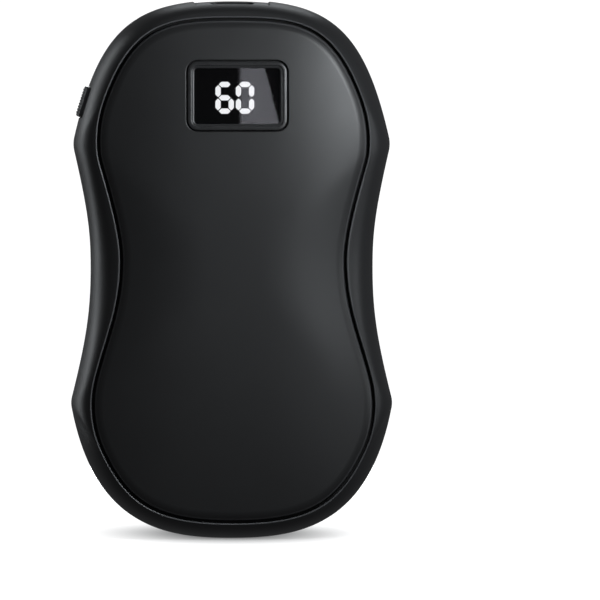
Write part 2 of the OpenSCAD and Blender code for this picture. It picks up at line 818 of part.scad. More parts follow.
module switch_body() {
    hollow = plunger_in + dome_rise + dome_t + fine_gap;
    color([0.1, 0.1, 0.1]) at_button() difference() {
        translate([switch_face, -board_back, -switch_len / 2]) cube([switch_deep, switch_h, switch_len]);
        box_at([switch_face + hollow / 2 - overrun / 2, 0, 0],
            [hollow + overrun, plunger_h + 2 * plunger_gap, plunger_w + 2 * plunger_gap]);
    }
}

// The snap spring behind the plunger, a thin bowed leaf with its crown towards the plunger.
module switch_dome() {
    half = plunger_w / 2;
    r = (half * half + dome_rise * dome_rise) / (2 * dome_rise);
    color([0.75, 0.75, 0.78]) at_button()
        translate([switch_face + plunger_in + fine_gap / 2 + r, plunger_h / 2, 0]) rotate([90, 0, 0])
            linear_extrude(plunger_h) difference() {
                circle(r, $fn = 96);
                circle(r - dome_t, $fn = 96);
                translate([dome_rise - r, -r - overrun]) square([2 * r + overrun, 2 * (r + overrun)]);
            }
}

// Ports

// A plug whose outer face follows the rounded end of the case, drawn in by the sink.
module end_plug() {
    steps = 8;
    half_x = panel_w / 2 + panel_slope;
    half_y = panel_depth / 2 + panel_gap;
    top = [for (i = [0:steps], j = [0:steps])
        let (x = mix(-half_x, half_x, i / steps), y = mix(-half_y, half_y, j / steps))
        [x, y, end_z(x, abs(y)) - panel_sink]];
    low = [for (p = top) [p.x, p.y, mouth_z]];
    row = steps + 1;
    all = row * row;
    rim = concat([for (j = [0:steps - 1]) j], [for (i = [0:steps - 1]) i * row + steps],
        [for (j = [steps:-1:1]) steps * row + j], [for (i = [steps:-1:1]) i * row]);
    polyhedron(concat(top, low), concat(
        flat_list([for (i = [0:steps - 1], j = [0:steps - 1]) let (a = i * row + j)
            [[a, a + row + 1, a + row], [a, a + 1, a + row + 1]]]),
        flat_list([for (i = [0:steps - 1], j = [0:steps - 1]) let (a = all + i * row + j)
            [[a, a + row, a + row + 1], [a, a + row + 1, a + 1]]]),
        flat_list([for (k = [0:len(rim) - 1]) let (a = rim[k], b = rim[(k + 1) % len(rim)])
            [[a, all + a, all + b], [a, all + b, b]]])), convexity = 4);
}

usb_a_y = -board_back + usb_a_h / 2;
usb_c_y = -board_front - usb_c_h / 2;

module oblong(w, h) {
    square([w - h, h], center = true);
    for (s = [-1, 1]) translate([s * (w - h) / 2, 0]) circle(h / 2, $fn = 48);
}

module port_panel() {
    color([0.07, 0.07, 0.08]) difference() {
        intersection() {
            end_plug();
            translate([0, 0, mouth_z]) linear_extrude(panel_t + overrun)
                rounded_rect(panel_w, panel_depth, panel_round);
        }
        translate([0, usb_a_y, mouth_z - overrun]) linear_extrude(panel_t + 2 * overrun)
            square([usb_a_w - 2 * usb_a_wall, usb_a_h - 2 * usb_a_wall], center = true);
        translate([0, usb_c_y, mouth_z - overrun]) linear_extrude(panel_t + 2 * overrun)
            oblong(usb_c_w - 2 * usb_c_wall, usb_c_h - 2 * usb_c_wall);
    }
}

module usb_a_shell() {
    color([0.75, 0.75, 0.77]) translate([0, usb_a_y, socket_z - usb_a_len]) difference() {
        linear_extrude(usb_a_len) rounded_rect(usb_a_w, usb_a_h, usb_a_wall);
        translate([0, 0, usb_a_wall]) linear_extrude(usb_a_len)
            square([usb_a_w - 2 * usb_a_wall, usb_a_h - 2 * usb_a_wall], center = true);
    }
}

usb_a_floor = socket_z - usb_a_len + usb_a_wall + port_clear;
usb_a_tip = socket_z - usb_a_tongue_sink;

module usb_a_tongue() {
    color([0.92, 0.92, 0.9]) translate([0, usb_a_y, usb_a_floor]) {
        linear_extrude(usb_a_base) square([usb_a_w - 2 * usb_a_wall - 2 * port_clear,
            usb_a_h - 2 * usb_a_wall - 2 * port_clear], center = true);
        translate([0, usb_a_tongue_shift, 0]) linear_extrude(usb_a_tip - usb_a_floor)
            square([usb_a_tongue_w, usb_a_tongue_t], center = true);
    }
}

module usb_a_contacts() {
    color([0.9, 0.75, 0.35])
        for (x = usb_a_contact_places)
            box_at([x, usb_a_y + usb_a_tongue_shift - usb_a_tongue_t / 2 - usb_a_contact_t / 2,
                usb_a_floor + usb_a_base + usb_a_contact_len / 2],
                [usb_a_contact_w, usb_a_contact_t, usb_a_contact_len]);
}

module usb_c_shell() {
    color([0.75, 0.75, 0.77]) translate([0, usb_c_y, socket_z - usb_c_len]) difference() {
        linear_extrude(usb_c_len) oblong(usb_c_w, usb_c_h);
        translate([0, 0, usb_c_wall]) linear_extrude(usb_c_len)
            oblong(usb_c_w - 2 * usb_c_wall, usb_c_h - 2 * usb_c_wall);
    }
}

module usb_c_tongue() {
    floor_z = socket_z - usb_c_len + usb_c_wall + port_clear;
    color([0.15, 0.15, 0.16]) translate([0, usb_c_y, floor_z]) {
        linear_extrude(usb_c_base)
            oblong(usb_c_w - 2 * usb_c_wall - 2 * port_clear, usb_c_h - 2 * usb_c_wall - 2 * port_clear);
        linear_extrude(socket_z - usb_c_tongue_sink - floor_z)
            square([usb_c_tongue_w, usb_c_tongue_t], center = true);
    }
}

// Board and its small parts

module main_board() {
    right = [[board_low_half, board_z], [board_half, board_wide_z], [board_half, board_slope_z],
        [board_mid_half, board_mid_z], [board_top_half, board_top]];
    color([0.05, 0.32, 0.16]) difference() {
        slab(-board_front, board_t)
            polygon(concat(right, [for (i = [len(right) - 1:-1:0]) [-right[i].x, right[i].y]]));
        for (s = [-1, 1])
            translate([s * post_x, overrun, post_z]) rotate([90, 0, 0])
                cylinder(h = board_front + 2 * overrun, d = screw_d + 2 * screw_hole_gap, $fn = 32);
    }
}

module on_front(place, size) {
    box_at([place.x, -board_front - size.z / 2, board_z + place.y], [size.x, size.z, size.y]);
}

module on_back(place, size) {
    box_at([place.x, -board_back + size.z / 2, board_z + place.y], [size.x, size.z, size.y]);
}

module controller_chip() {
    color([0.08, 0.08, 0.08]) on_front(controller_at, controller);
}

module charger_chip() {
    color([0.08, 0.08, 0.08]) on_back(charger_at, charger);
}

module power_inductor() {
    color([0.3, 0.3, 0.32]) on_back(inductor_at, inductor);
}

module board_capacitors() {
    color([0.72, 0.58, 0.4]) {
        for (place = front_capacitors) on_front(place, capacitor);
        for (place = back_capacitors) on_back(place, capacitor);
    }
}

module heater_connectors() {
    color([0.92, 0.92, 0.88]) {
        on_front(connector_at, connector);
        on_back(connector_at, connector);
    }
}

// A screw along y whose head ends at y_head and whose shank points forward.
module screw(x, y_head, z, head_h, length) {
    translate([x, y_head, z]) rotate([90, 0, 0]) difference() {
        union() {
            cylinder(h = head_h, d = screw_head_d, $fn = 40);
            cylinder(h = head_h + length, d = screw_d, $fn = 32);
        }
        for (a = [0, 90]) rotate(a) box_at([0, 0, 0], [cross_len, cross_w, 2 * cross_depth]);
    }
}

module board_screws() {
    color([0.7, 0.7, 0.72])
        for (s = [-1, 1])
            screw(s * post_x, -board_back + board_screw_head_h, post_z, board_screw_head_h,
                board_t + board_screw_len - screw_head_gap);
}

module case_screws() {
    head_end = seat_depth - screw_sink + screw_head_h;
    color([0.7, 0.7, 0.72])
        for (i = [0, 1], s = [-1, 1])
            screw(s * screw_x[i], head_end, screw_z[i], screw_head_h, head_end - screw_head_h + screw_reach);
}

// Battery

module cell_body(x) {
    body = cell_len - cell_cap_h;
    translate([x, 0, cell_z]) rotate_extrude($fn = 96) {
        square([cell_r - cell_edge_round, body]);
        translate([0, cell_edge_round]) square([cell_r, body - 2 * cell_edge_round]);
        for (z = [cell_edge_round, body - cell_edge_round])
            translate([cell_r - cell_edge_round, z]) circle(cell_edge_round, $fn = 32);
    }
}

module left_cell() {
    color([0.1, 0.3, 0.65]) cell_body(-cell_pitch / 2);
}

module right_cell() {
    color([0.1, 0.3, 0.65]) cell_body(cell_pitch / 2);
}

module cell_caps() {
    color([0.8, 0.8, 0.82])
        for (s = [-1, 1])
            translate([s * cell_pitch / 2, 0, cell_top - cell_cap_h])
                cylinder(h = cell_cap_h, d = cell_cap_d, $fn = 48);
}

module cell_insulators() {
    color([0.93, 0.93, 0.88])
        for (s = [-1, 1])
            translate([s * cell_pitch / 2, 0, cell_top - cell_cap_h]) difference() {
                cylinder(h = ring_paper_t, d = ring_paper_d, $fn = 64);
                translate([0, 0, -overrun]) cylinder(h = ring_paper_t + 2 * overrun,
                    d = cell_cap_d + 2 * fine_gap, $fn = 48);
            }
}

module top_nickel_strip() {
    color([0.8, 0.8, 0.78])
        box_at([0, 0, cell_top + strip_t / 2], [cell_pitch + 2 * strip_over, strip_w, strip_t]);
}

module bottom_nickel_strip() {
    color([0.8, 0.8, 0.78]) {
        box_at([0, 0, cell_z - strip_t / 2], [cell_pitch + 2 * strip_over, strip_w, strip_t]);
        box_at([0, lead_depth / 2 + lead_d / 4, cell_z - strip_t / 2], [lead_d, lead_depth + lead_d / 2, strip_t]);
    }
}

// A wire along x = 0 that rises at one depth and turns forward to the board.
module risen_wire(y, z_from, z_to, y_end, r) {
    translate([0, y, z_from]) cylinder(h = z_to - bend_r - z_from, r = r, $fn = 24);
    translate([0, y - bend_r, z_to - bend_r]) rotate([90, 0, 90])
        rotate_extrude(angle = 90, $fn = 48) translate([bend_r, 0]) circle(r, $fn = 24);
    translate([0, y - bend_r, z_to]) rotate([90, 0, 0]) cylinder(h = y - bend_r - y_end, r = r, $fn = 24);
}

module positive_lead() {
    color([0.75, 0.08, 0.06])
        translate([positive_lead_x, -board_back + fine_gap + lead_d / 2, strip_top])
            cylinder(h = positive_lead_top - strip_top, d = lead_d, $fn = 24);
}

module negative_lead() {
    color([0.06, 0.06, 0.06]) risen_wire(lead_depth, cell_z, bead_leads[0] + fine_gap, -board_back, lead_d / 2);
}

module cell_end_pad() {
    color([0.2, 0.2, 0.2])
        box_at([0, 0, cell_z - strip_t - pad_t / 2], [pad_w, pad_depth, pad_t]);
}

// Heaters

// A thin sheet that follows the inside of a cover, cut straight at its top.
module crowned_sheet(share, outer_drop, inner_drop) {
    shares = shares_to(share);
    outline = every_second(cover_edge);
    intersection() {
        body_of_rings(concat(
            [for (i = [0:3]) ring(drawn_in(outline, shares[i]), crown_at(shares[i]) - inner_drop)],
            [for (i = [3:-1:0]) ring(drawn_in(outline, shares[i]), crown_at(shares[i]) - outer_drop)]),
            [0, -(crown_depth - inner_drop), cover_mid_z], [0, -(crown_depth - outer_drop), cover_mid_z]);
        translate([-hip_width / 2, -case_depth, 0]) cube([hip_width, 2 * case_depth, heater_top]);
    }
}

plate_drop = cover_t + glue_t;
film_drop = plate_drop + plate_t + glue_t;
foam_drop = film_drop + film_t + glue_t;
foam_face = cell_r + foam_gap;
bead_depth = foam_face - fine_gap - bead_r;
bead_lead_depth = bead_depth - bead_lead_in;

module heat_plate() {
    crowned_sheet(plate_share, plate_drop, plate_drop + plate_t);
}

// The film, and its tail that crosses the crossbar and turns in to a connector on the board.
module heater_film(tail_end) {
    start = crown_at(tail_share) - film_drop;
    turn_z = board_z + connector_at.y;
    path = [[heater_top - tail_fold, start], [crossbar_top + tail_fold / 2, start - tail_fold / 2],
        [turn_z - tail_fold / 2, start - tail_fold], [turn_z, start - 2 * tail_fold], [turn_z, tail_end]];
    crowned_sheet(film_share, film_drop, film_drop + film_t);
    translate([tail_x - tail_w / 2, 0, 0]) rotate([90, 0, 90]) linear_extrude(tail_w)
        polygon(concat([for (p = path) [-p.y, p.x]],
            [for (i = [len(path) - 1:-1:0]) [-path[i].y + (i < 3 ? film_t : 0), path[i].x - (i < 3 ? 0 : film_t)]]));
}

module foam_pad() {
    shares = shares_to(foam_share);
    outline = every_second(cover_edge);
    intersection() {
        body_of_rings(concat([ring(drawn_in(outline, foam_share), foam_face)],
            [for (i = [3:-1:0]) ring(drawn_in(outline, shares[i]), crown_at(shares[i]) - foam_drop)]),
            [0, -foam_face, cover_mid_z], [0, -(crown_depth - foam_drop), cover_mid_z]);
        translate([-hip_width / 2, -case_depth, 0]) cube([hip_width, 2 * case_depth, foam_top]);
    }
}

module front_heat_plate() {
    color([0.8, 0.81, 0.83]) heat_plate();
}

module rear_heat_plate() {
    color([0.8, 0.81, 0.83]) rear_side() heat_plate();
}

module front_heater_film() {
    color([0.75, 0.4, 0.12]) heater_film(board_front + connector.z + fine_gap);
}

module rear_heater_film() {
    color([0.75, 0.4, 0.12]) rear_side() heater_film(connector.z - board_back + fine_gap);
}

module front_foam_pad() {
    color([0.85, 0.85, 0.82]) foam_pad();
}

module rear_foam_pad() {
    color([0.85, 0.85, 0.82]) rear_side() foam_pad();
}

module thermistor_bead() {
    translate([0, bead_depth, bead_z]) sphere(bead_r, $fn = 32);
}

module front_thermistor() {
    color([0.1, 0.1, 0.1]) mirror([0, 1, 0]) {
        thermistor_bead();
        risen_wire(bead_lead_depth, bead_z, bead_leads[0], board_front, bead_lead_r);
    }
}

module rear_thermistor() {
    color([0.1, 0.1, 0.1]) {
        thermistor_bead();
        risen_wire(bead_lead_depth, bead_z, bead_leads[1], -board_back, bead_lead_r);
    }
}

front_shell();
rear_shell();
front_cover();
rear_cover();
display_bezel();
display_window();
display_module();
display_holder();
lit_segments();
unlit_segments();
side_button();
switch_plunger();
switch_body();
switch_dome();
port_panel();
usb_a_shell();
usb_a_tongue();
usb_a_contacts();
usb_c_shell();
usb_c_tongue();
main_board();
controller_chip();
charger_chip();
power_inductor();
board_capacitors();
heater_connectors();
board_screws();
case_screws();
left_cell();
right_cell();
cell_caps();
cell_insulators();
top_nickel_strip();
bottom_nickel_strip();
positive_lead();
negative_lead();
front_heat_plate();
rear_heat_plate();
front_heater_film();
rear_heater_film();
front_foam_pad();
rear_foam_pad();
front_thermistor();
rear_thermistor();
cell_end_pad();
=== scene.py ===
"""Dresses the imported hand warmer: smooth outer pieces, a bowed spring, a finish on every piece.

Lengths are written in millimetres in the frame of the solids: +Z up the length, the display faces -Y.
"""

import logging
import math
from dataclasses import dataclass, field
from enum import Enum
from typing import Any, Sequence

import bpy
import numpy as np
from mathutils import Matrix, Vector


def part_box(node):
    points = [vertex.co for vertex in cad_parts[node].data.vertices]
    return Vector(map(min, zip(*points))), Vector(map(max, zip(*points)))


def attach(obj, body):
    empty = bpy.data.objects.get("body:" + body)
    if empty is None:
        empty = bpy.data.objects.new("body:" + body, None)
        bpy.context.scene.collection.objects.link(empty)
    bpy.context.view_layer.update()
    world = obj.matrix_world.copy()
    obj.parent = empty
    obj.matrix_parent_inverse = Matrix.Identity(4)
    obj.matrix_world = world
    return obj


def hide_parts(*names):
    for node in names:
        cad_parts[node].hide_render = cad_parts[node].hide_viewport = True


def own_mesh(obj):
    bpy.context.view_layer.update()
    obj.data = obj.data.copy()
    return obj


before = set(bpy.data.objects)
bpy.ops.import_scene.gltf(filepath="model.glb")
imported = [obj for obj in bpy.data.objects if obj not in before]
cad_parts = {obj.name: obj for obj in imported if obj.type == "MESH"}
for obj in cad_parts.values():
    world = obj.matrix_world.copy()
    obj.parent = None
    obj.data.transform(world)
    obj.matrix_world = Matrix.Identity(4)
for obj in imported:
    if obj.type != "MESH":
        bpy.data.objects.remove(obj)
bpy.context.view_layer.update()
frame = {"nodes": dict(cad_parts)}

MM = 0.001
MERGE_DISTANCE = 1e-7
SHARP_ANGLE = 32.0
CORNER_STEPS = 12
SIDE_STEPS = 10
log = logging.getLogger("hand_warmer")

Colour = tuple[float, float, float]
BLACK: Colour = (0.0, 0.0, 0.0)


class Face(Enum):
    """Side of the case that a piece belongs to, with its sign along Y."""

    FRONT = -1
    REAR = 1


class Bar(Enum):
    """A bar of a digit: its place in half steps across and up, and whether it stands upright."""

    TOP = (0, 2, False)
    UPPER_RIGHT = (1, 1, True)
    LOWER_RIGHT = (1, -1, True)
    BOTTOM = (0, -2, False)
    LOWER_LEFT = (-1, -1, True)
    UPPER_LEFT = (-1, 1, True)
    MIDDLE = (0, 0, False)


# Shader wiring


class Value:
    """One socket of a shader, on which sums are written as Python."""

    def __init__(self, wiring: "Wiring", socket: bpy.types.NodeSocket) -> None:
        """Keeps the socket and the wiring that it belongs to."""
        self.wiring = wiring
        self.socket = socket

    def _sum(self, operation: str, first: Any, second: Any) -> "Value":
        """Adds a Math node.

        Args:
            operation: The node's operation.
            first: A number or a Value.
            second: A number or a Value.

        Returns:
            The node's result.
        """
        node = self.wiring.node("ShaderNodeMath", {"operation": operation}, {0: first, 1: second})
        return Value(self.wiring, node.outputs[0])

    def __add__(self, other: Any) -> "Value":
        """This value plus another."""
        return self._sum("ADD", self, other)

    __radd__ = __add__

    def __mul__(self, other: Any) -> "Value":
        """This value times another."""
        return self._sum("MULTIPLY", self, other)

    __rmul__ = __mul__

    def __sub__(self, other: Any) -> "Value":
        """This value less another."""
        return self._sum("SUBTRACT", self, other)

    def __rsub__(self, other: Any) -> "Value":
        """Another value less this one."""
        return self._sum("SUBTRACT", other, self)

    def __pow__(self, other: Any) -> "Value":
        """This value to a power."""
        return self._sum("POWER", self, other)

    def between(self, low: float, high: float) -> "Value":
        """Runs smoothly from 0 at low to 1 at high.

        Args:
            low: Where the result is 0.
            high: Where the result is 1.

        Returns:
            The eased value.
        """
        node = self.wiring.node("ShaderNodeMapRange", {"interpolation_type": "SMOOTHSTEP"},
                                {"Value": self, "From Min": low, "From Max": high})
        return Value(self.wiring, node.outputs["Result"])


class Wiring:
    """The nodes of one material."""

    noise_roughness = 0.55

    def __init__(self, name: str) -> None:
        """Starts an empty material of that name."""
        self.material = bpy.data.materials.new(name)
        self.material.use_nodes = True
        self.tree = self.material.node_tree
        self.tree.nodes.clear()

    def node(self, kind: str, settings: dict[str, Any] | None = None,
             sockets: dict[int | str, Any] | None = None) -> bpy.types.Node:
        """Adds a node.

        Args:
            kind: The node's type.
            settings: The node's own settings, set first.
            sockets: Values or links of its inputs, by name or place.

        Returns:
            The new node.
        """
        made = self.tree.nodes.new(kind)
        for name, value in (settings or {}).items():
            setattr(made, name, value)
        for name, value in (sockets or {}).items():
            socket = made.inputs[name]
            if isinstance(value, Value):
                self.tree.links.new(value.socket, socket)
            elif socket.type == "RGBA" and len(value) == 3:
                socket.default_value = (*value, 1.0)
            else:
                socket.default_value = value
        return made

    def point(self) -> Value:
        """The point on the object, in metres."""
        return Value(self, self.node("ShaderNodeTexCoord").outputs["Object"])

    def place(self, stretch: Colour = (1.0, 1.0, 1.0)) -> Value:
        """The point on the object, with each axis stretched."""
        spread = self.node("ShaderNodeMapping", {}, {"Vector": self.point(), "Scale": stretch})
        return Value(self, spread.outputs["Vector"])

    def noise(self, grain: float, detail: float = 2.0, stretch: Colour = (1.0, 1.0, 1.0)) -> Value:
        """Cloudy noise.

        Args:
            grain: Size of its grain in mm.
            detail: How many finer layers it has.
            stretch: How much each axis is stretched.

        Returns:
            The noise, about 0.5 on average.
        """
        made = self.node("ShaderNodeTexNoise", {"noise_dimensions": "3D"}, {
            "Vector": self.place(stretch), "Scale": 1 / (grain * MM), "Detail": detail,
            "Roughness": self.noise_roughness})
        return Value(self, made.outputs["Fac"])

    def cells(self, grain: float) -> Value:
        """Distance to the middle of the nearest cell, for foam and pebbled faces."""
        made = self.node("ShaderNodeTexVoronoi", {"feature": "F1"},
                         {"Vector": self.place(), "Scale": 1 / (grain * MM)})
        return Value(self, made.outputs["Distance"])

    def axis(self, name: str) -> Value:
        """One coordinate of the point on the object, in metres."""
        split = self.node("ShaderNodeSeparateXYZ", {}, {"Vector": self.point()})
        return Value(self, split.outputs[name])

    def painted(self, name: str) -> Value:
        """A value that is stored on the piece's points."""
        made = self.node("ShaderNodeAttribute", {"attribute_name": name})
        return Value(self, made.outputs["Fac"])

    def blend(self, share: Any, first: Any, second: Any) -> Value:
        """Mixes two colours by a share of the second."""
        made = self.node("ShaderNodeMix", {"data_type": "RGBA"}, {0: share, 6: first, 7: second})
        return Value(self, made.outputs[2])

    def bump(self, height: Value, rise: float, strength: float = 1.0) -> Value:
        """A bumpy normal from a height.

        Args:
            height: The height, from 0 to 1.
            rise: What a height of 1 stands for, in mm.
            strength: How strongly it shows.

        Returns:
            The normal.
        """
        made = self.node("ShaderNodeBump", {},
                         {"Height": height, "Distance": rise * MM, "Strength": strength})
        return Value(self, made.outputs["Normal"])

    def surface(self, sockets: dict[int | str, Any]) -> bpy.types.Material:
        """Ends the material in one surface shader with these sockets."""
        shader = self.node("ShaderNodeBsdfPrincipled", {}, sockets)
        output = self.node("ShaderNodeOutputMaterial")
        self.tree.links.new(shader.outputs[0], output.inputs["Surface"])
        return self.material


def tinted(colour: Colour, factor: float) -> Colour:
    """A colour made lighter or darker by a factor."""
    return tuple(min(1.0, part * factor) for part in colour)


@dataclass(frozen=True)
class Finish:
    """A finish: the record's slot that it belongs to, its colour and how rough it is."""

    slot: str
    colour: Colour
    roughness: float

    def material(self) -> bpy.types.Material:
        """Builds the finish's material."""
        return self.wired(Wiring(self.slot))

    def wired(self, wiring: Wiring) -> bpy.types.Material:
        """Adds the finish's nodes to an empty material."""
        raise NotImplementedError


@dataclass(frozen=True)
class Moulded(Finish):
    """Moulded plastic with a fine grain, and a mark on its points: above 0 it is smoother from wear, above
    0.5 its colour is lighter as a painted edge highlight, and below 0 its colour goes black as painted shade
    in grooves, where it is rougher.
    """

    grain: float = 0.18
    rise: float = 0.004
    mottle: float = 0.06
    # How much the mark lowers roughness, as polish from wear.
    worn: float = 0.1
    # Painted edge highlight: how much lighter the colour gets where the mark is high.
    painted_edge_highlight: float = 1.6
    cloud: float = 7.0
    cloud_share: float = 1.4
    speck_share: float = 0.6
    cloud_gloss: float = 0.09
    speck_gloss: float = 0.05
    cloud_rise: float = 0.2
    shades: tuple[float, float] = (0.6, 1.4)
    # Marks over which the painted edge highlight fades in.
    painted_highlight_ends: tuple[float, float] = (0.5, 1.0)
    # Painted groove shade: the marks below 0 over which the colour fades to black, and how much rougher it
    # gets there.
    groove_shade_ends: tuple[float, float] = (0.2, 1.0)
    groove_shade_dull: float = 0.4

    def wired(self, wiring: Wiring) -> bpy.types.Material:
        """Builds the grained plastic."""
        smear = wiring.noise(self.cloud, 3.0)
        speck = wiring.noise(self.grain, 1.0)
        worn = wiring.painted("worn")
        # Painted shade: a mark below 0 turns the colour black in grooves.
        painted_groove_shade = (0 - worn).between(*self.groove_shade_ends)
        level = self.roughness - (self.cloud_gloss + self.speck_gloss) / 2
        shade = (smear * self.mottle * self.cloud_share + speck * self.mottle * self.speck_share
                 + (0.5 - self.mottle))
        plain = wiring.blend(shade, *(tinted(self.colour, part) for part in self.shades))
        # Painted highlight: a mark above 0.5 lightens the colour along edges.
        painted_edge_highlight = wiring.blend(worn.between(*self.painted_highlight_ends), plain, tinted(self.colour, self.painted_edge_highlight))
        return wiring.surface({
            "Base Color": wiring.blend(painted_groove_shade, painted_edge_highlight, BLACK),
            "Roughness": (smear * self.cloud_gloss + speck * self.speck_gloss - worn * self.worn + level
                          + painted_groove_shade * self.groove_shade_dull),
            "Normal": wiring.bump(speck + smear * self.cloud_rise, self.rise),
        })


@dataclass(frozen=True)
class Metal(Finish):
    """Sheet or turned metal, brushed along one axis."""

    stretch: Colour = (1.0, 1.0, 0.08)
    scratch: float = 0.12
    dull: float = 0.0
    tarnish: float = 3.5
    tarnish_share: float = 0.5
    tarnish_shade: float = 0.72
    scratch_gloss: float = 0.16
    tarnish_gloss: float = 0.08
    rise: float = 0.003
    strength: float = 0.6

    def wired(self, wiring: Wiring) -> bpy.types.Material:
        """Builds the brushed metal."""
        line = wiring.noise(self.scratch, 2.0, self.stretch)
        tarnish = wiring.noise(self.tarnish, 3.0)
        level = self.roughness - (self.scratch_gloss + self.tarnish_gloss) / 2
        return wiring.surface({
            "Base Color": wiring.blend(tarnish * (self.tarnish_share + self.dull), self.colour,
                                       tinted(self.colour, self.tarnish_shade)),
            "Roughness": line * self.scratch_gloss + tarnish * self.tarnish_gloss + level,
            "Metallic": 1.0,
            "Normal": wiring.bump(line, self.rise, self.strength),
        })


@dataclass(frozen=True)
class Glass(Finish):
    """Dark see-through window, polished, with faint dust and wiping marks."""

    cover: float = 0.5
    wipe: float = 2.2
    stretch: Colour = (1.0, 1.0, 0.35)
    shades: tuple[float, float] = (0.8, 1.2)
    wipe_gloss: float = 0.012
    wipe_cover: float = 0.02
    mirror: float = 0.3

    def wired(self, wiring: Wiring) -> bpy.types.Material:
        """Builds the dark window."""
        wipe = wiring.noise(self.wipe, 4.0, self.stretch)
        made = wiring.surface({
            "Base Color": wiring.blend(wipe, *(tinted(self.colour, part) for part in self.shades)),
            "Roughness": wipe * self.wipe_gloss + self.roughness,
            "Alpha": wipe * self.wipe_cover + (self.cover - self.wipe_cover / 2),
            "Specular IOR Level": self.mirror,
        })
        made.surface_render_method = "BLENDED"
        return made


@dataclass(frozen=True)
class Lit(Finish):
    """A lit bar: a glow that is a little uneven."""

    glow: float = 2.0
    cloud: float = 0.9
    cloud_gloss: float = 0.1
    weak: Colour = (0.93, 0.95, 1.0)
    full: Colour = (1.0, 1.0, 1.0)

    def wired(self, wiring: Wiring) -> bpy.types.Material:
        """Builds the lit bar."""
        uneven = wiring.noise(self.cloud, 1.0)
        return wiring.surface({
            "Base Color": self.colour,
            "Roughness": uneven * self.cloud_gloss + self.roughness,
            "Emission Color": wiring.blend(uneven, self.weak, self.full),
            "Emission Strength": self.glow,
        })


@dataclass(frozen=True)
class Board(Finish):
    """Solder mask over copper tracks that run in two directions."""

    pitch: float = 1.3
    bend: float = 4.0
    bands_a_pitch: float = 0.16
    distortion: float = 2.5
    track_ends: tuple[float, float] = (0.62, 0.7)
    bend_ends: tuple[float, float] = (0.42, 0.47)
    track_shade: float = 1.9
    bend_gloss: float = 0.12
    track_gloss: float = 0.05
    rise: float = 0.03
    strength: float = 0.8

    def wired(self, wiring: Wiring) -> bpy.types.Material:
        """Builds the board's face."""
        bend = wiring.noise(self.bend, 0.0)
        lanes = wiring.node("ShaderNodeTexWave", {"wave_type": "BANDS", "bands_direction": "DIAGONAL"}, {
            "Vector": wiring.place(), "Scale": self.bands_a_pitch / (self.pitch * MM),
            "Distortion": self.distortion, "Detail": 0.0})
        lane = Value(wiring, lanes.outputs["Fac"])
        track = lane.between(*self.track_ends) * bend.between(*self.bend_ends)
        return wiring.surface({
            "Base Color": wiring.blend(track, self.colour, tinted(self.colour, self.track_shade)),
            "Roughness": bend * self.bend_gloss + self.roughness - track * self.track_gloss,
            "Normal": wiring.bump(track, self.rise, self.strength),
        })


@dataclass(frozen=True)
class Foam(Finish):
    """Closed-cell foam."""

    cell: float = 0.35
    cloud: float = 5.0
    pore_share: float = 0.6
    cloud_share: float = 0.4
    shade: float = 0.7
    cloud_gloss: float = 0.1
    rise: float = 0.08
    strength: float = 0.7

    def wired(self, wiring: Wiring) -> bpy.types.Material:
        """Builds the foam."""
        pore = wiring.cells(self.cell)
        cloud = wiring.noise(self.cloud, 2.0)
        return wiring.surface({
            "Base Color": wiring.blend(pore * self.pore_share + cloud * self.cloud_share, self.colour,
                                       tinted(self.colour, self.shade)),
            "Roughness": cloud * self.cloud_gloss + self.roughness,
            "Normal": wiring.bump(1 - pore, self.rise, self.strength),
        })


@dataclass(frozen=True)
class Wrap(Finish):
    """Shrink wrap with soft lengthwise creases."""

    crease: float = 1.6
    stretch: Colour = (1.0, 1.0, 0.12)
    shades: tuple[float, float] = (0.9, 1.15)
    crease_gloss: float = 0.1
    crease_coat: float = 0.3
    coat: float = 0.2
    rise: float = 0.05
    strength: float = 0.5

    def wired(self, wiring: Wiring) -> bpy.types.Material:
        """Builds the wrap."""
        crease = wiring.noise(self.crease, 2.0, self.stretch)
        return wiring.surface({
            "Base Color": wiring.blend(crease, *(tinted(self.colour, part) for part in self.shades)),
            "Roughness": crease * self.crease_gloss + self.roughness,
            "Coat Weight": crease * self.crease_coat + self.coat,
            "Normal": wiring.bump(crease, self.rise, self.strength),
        })


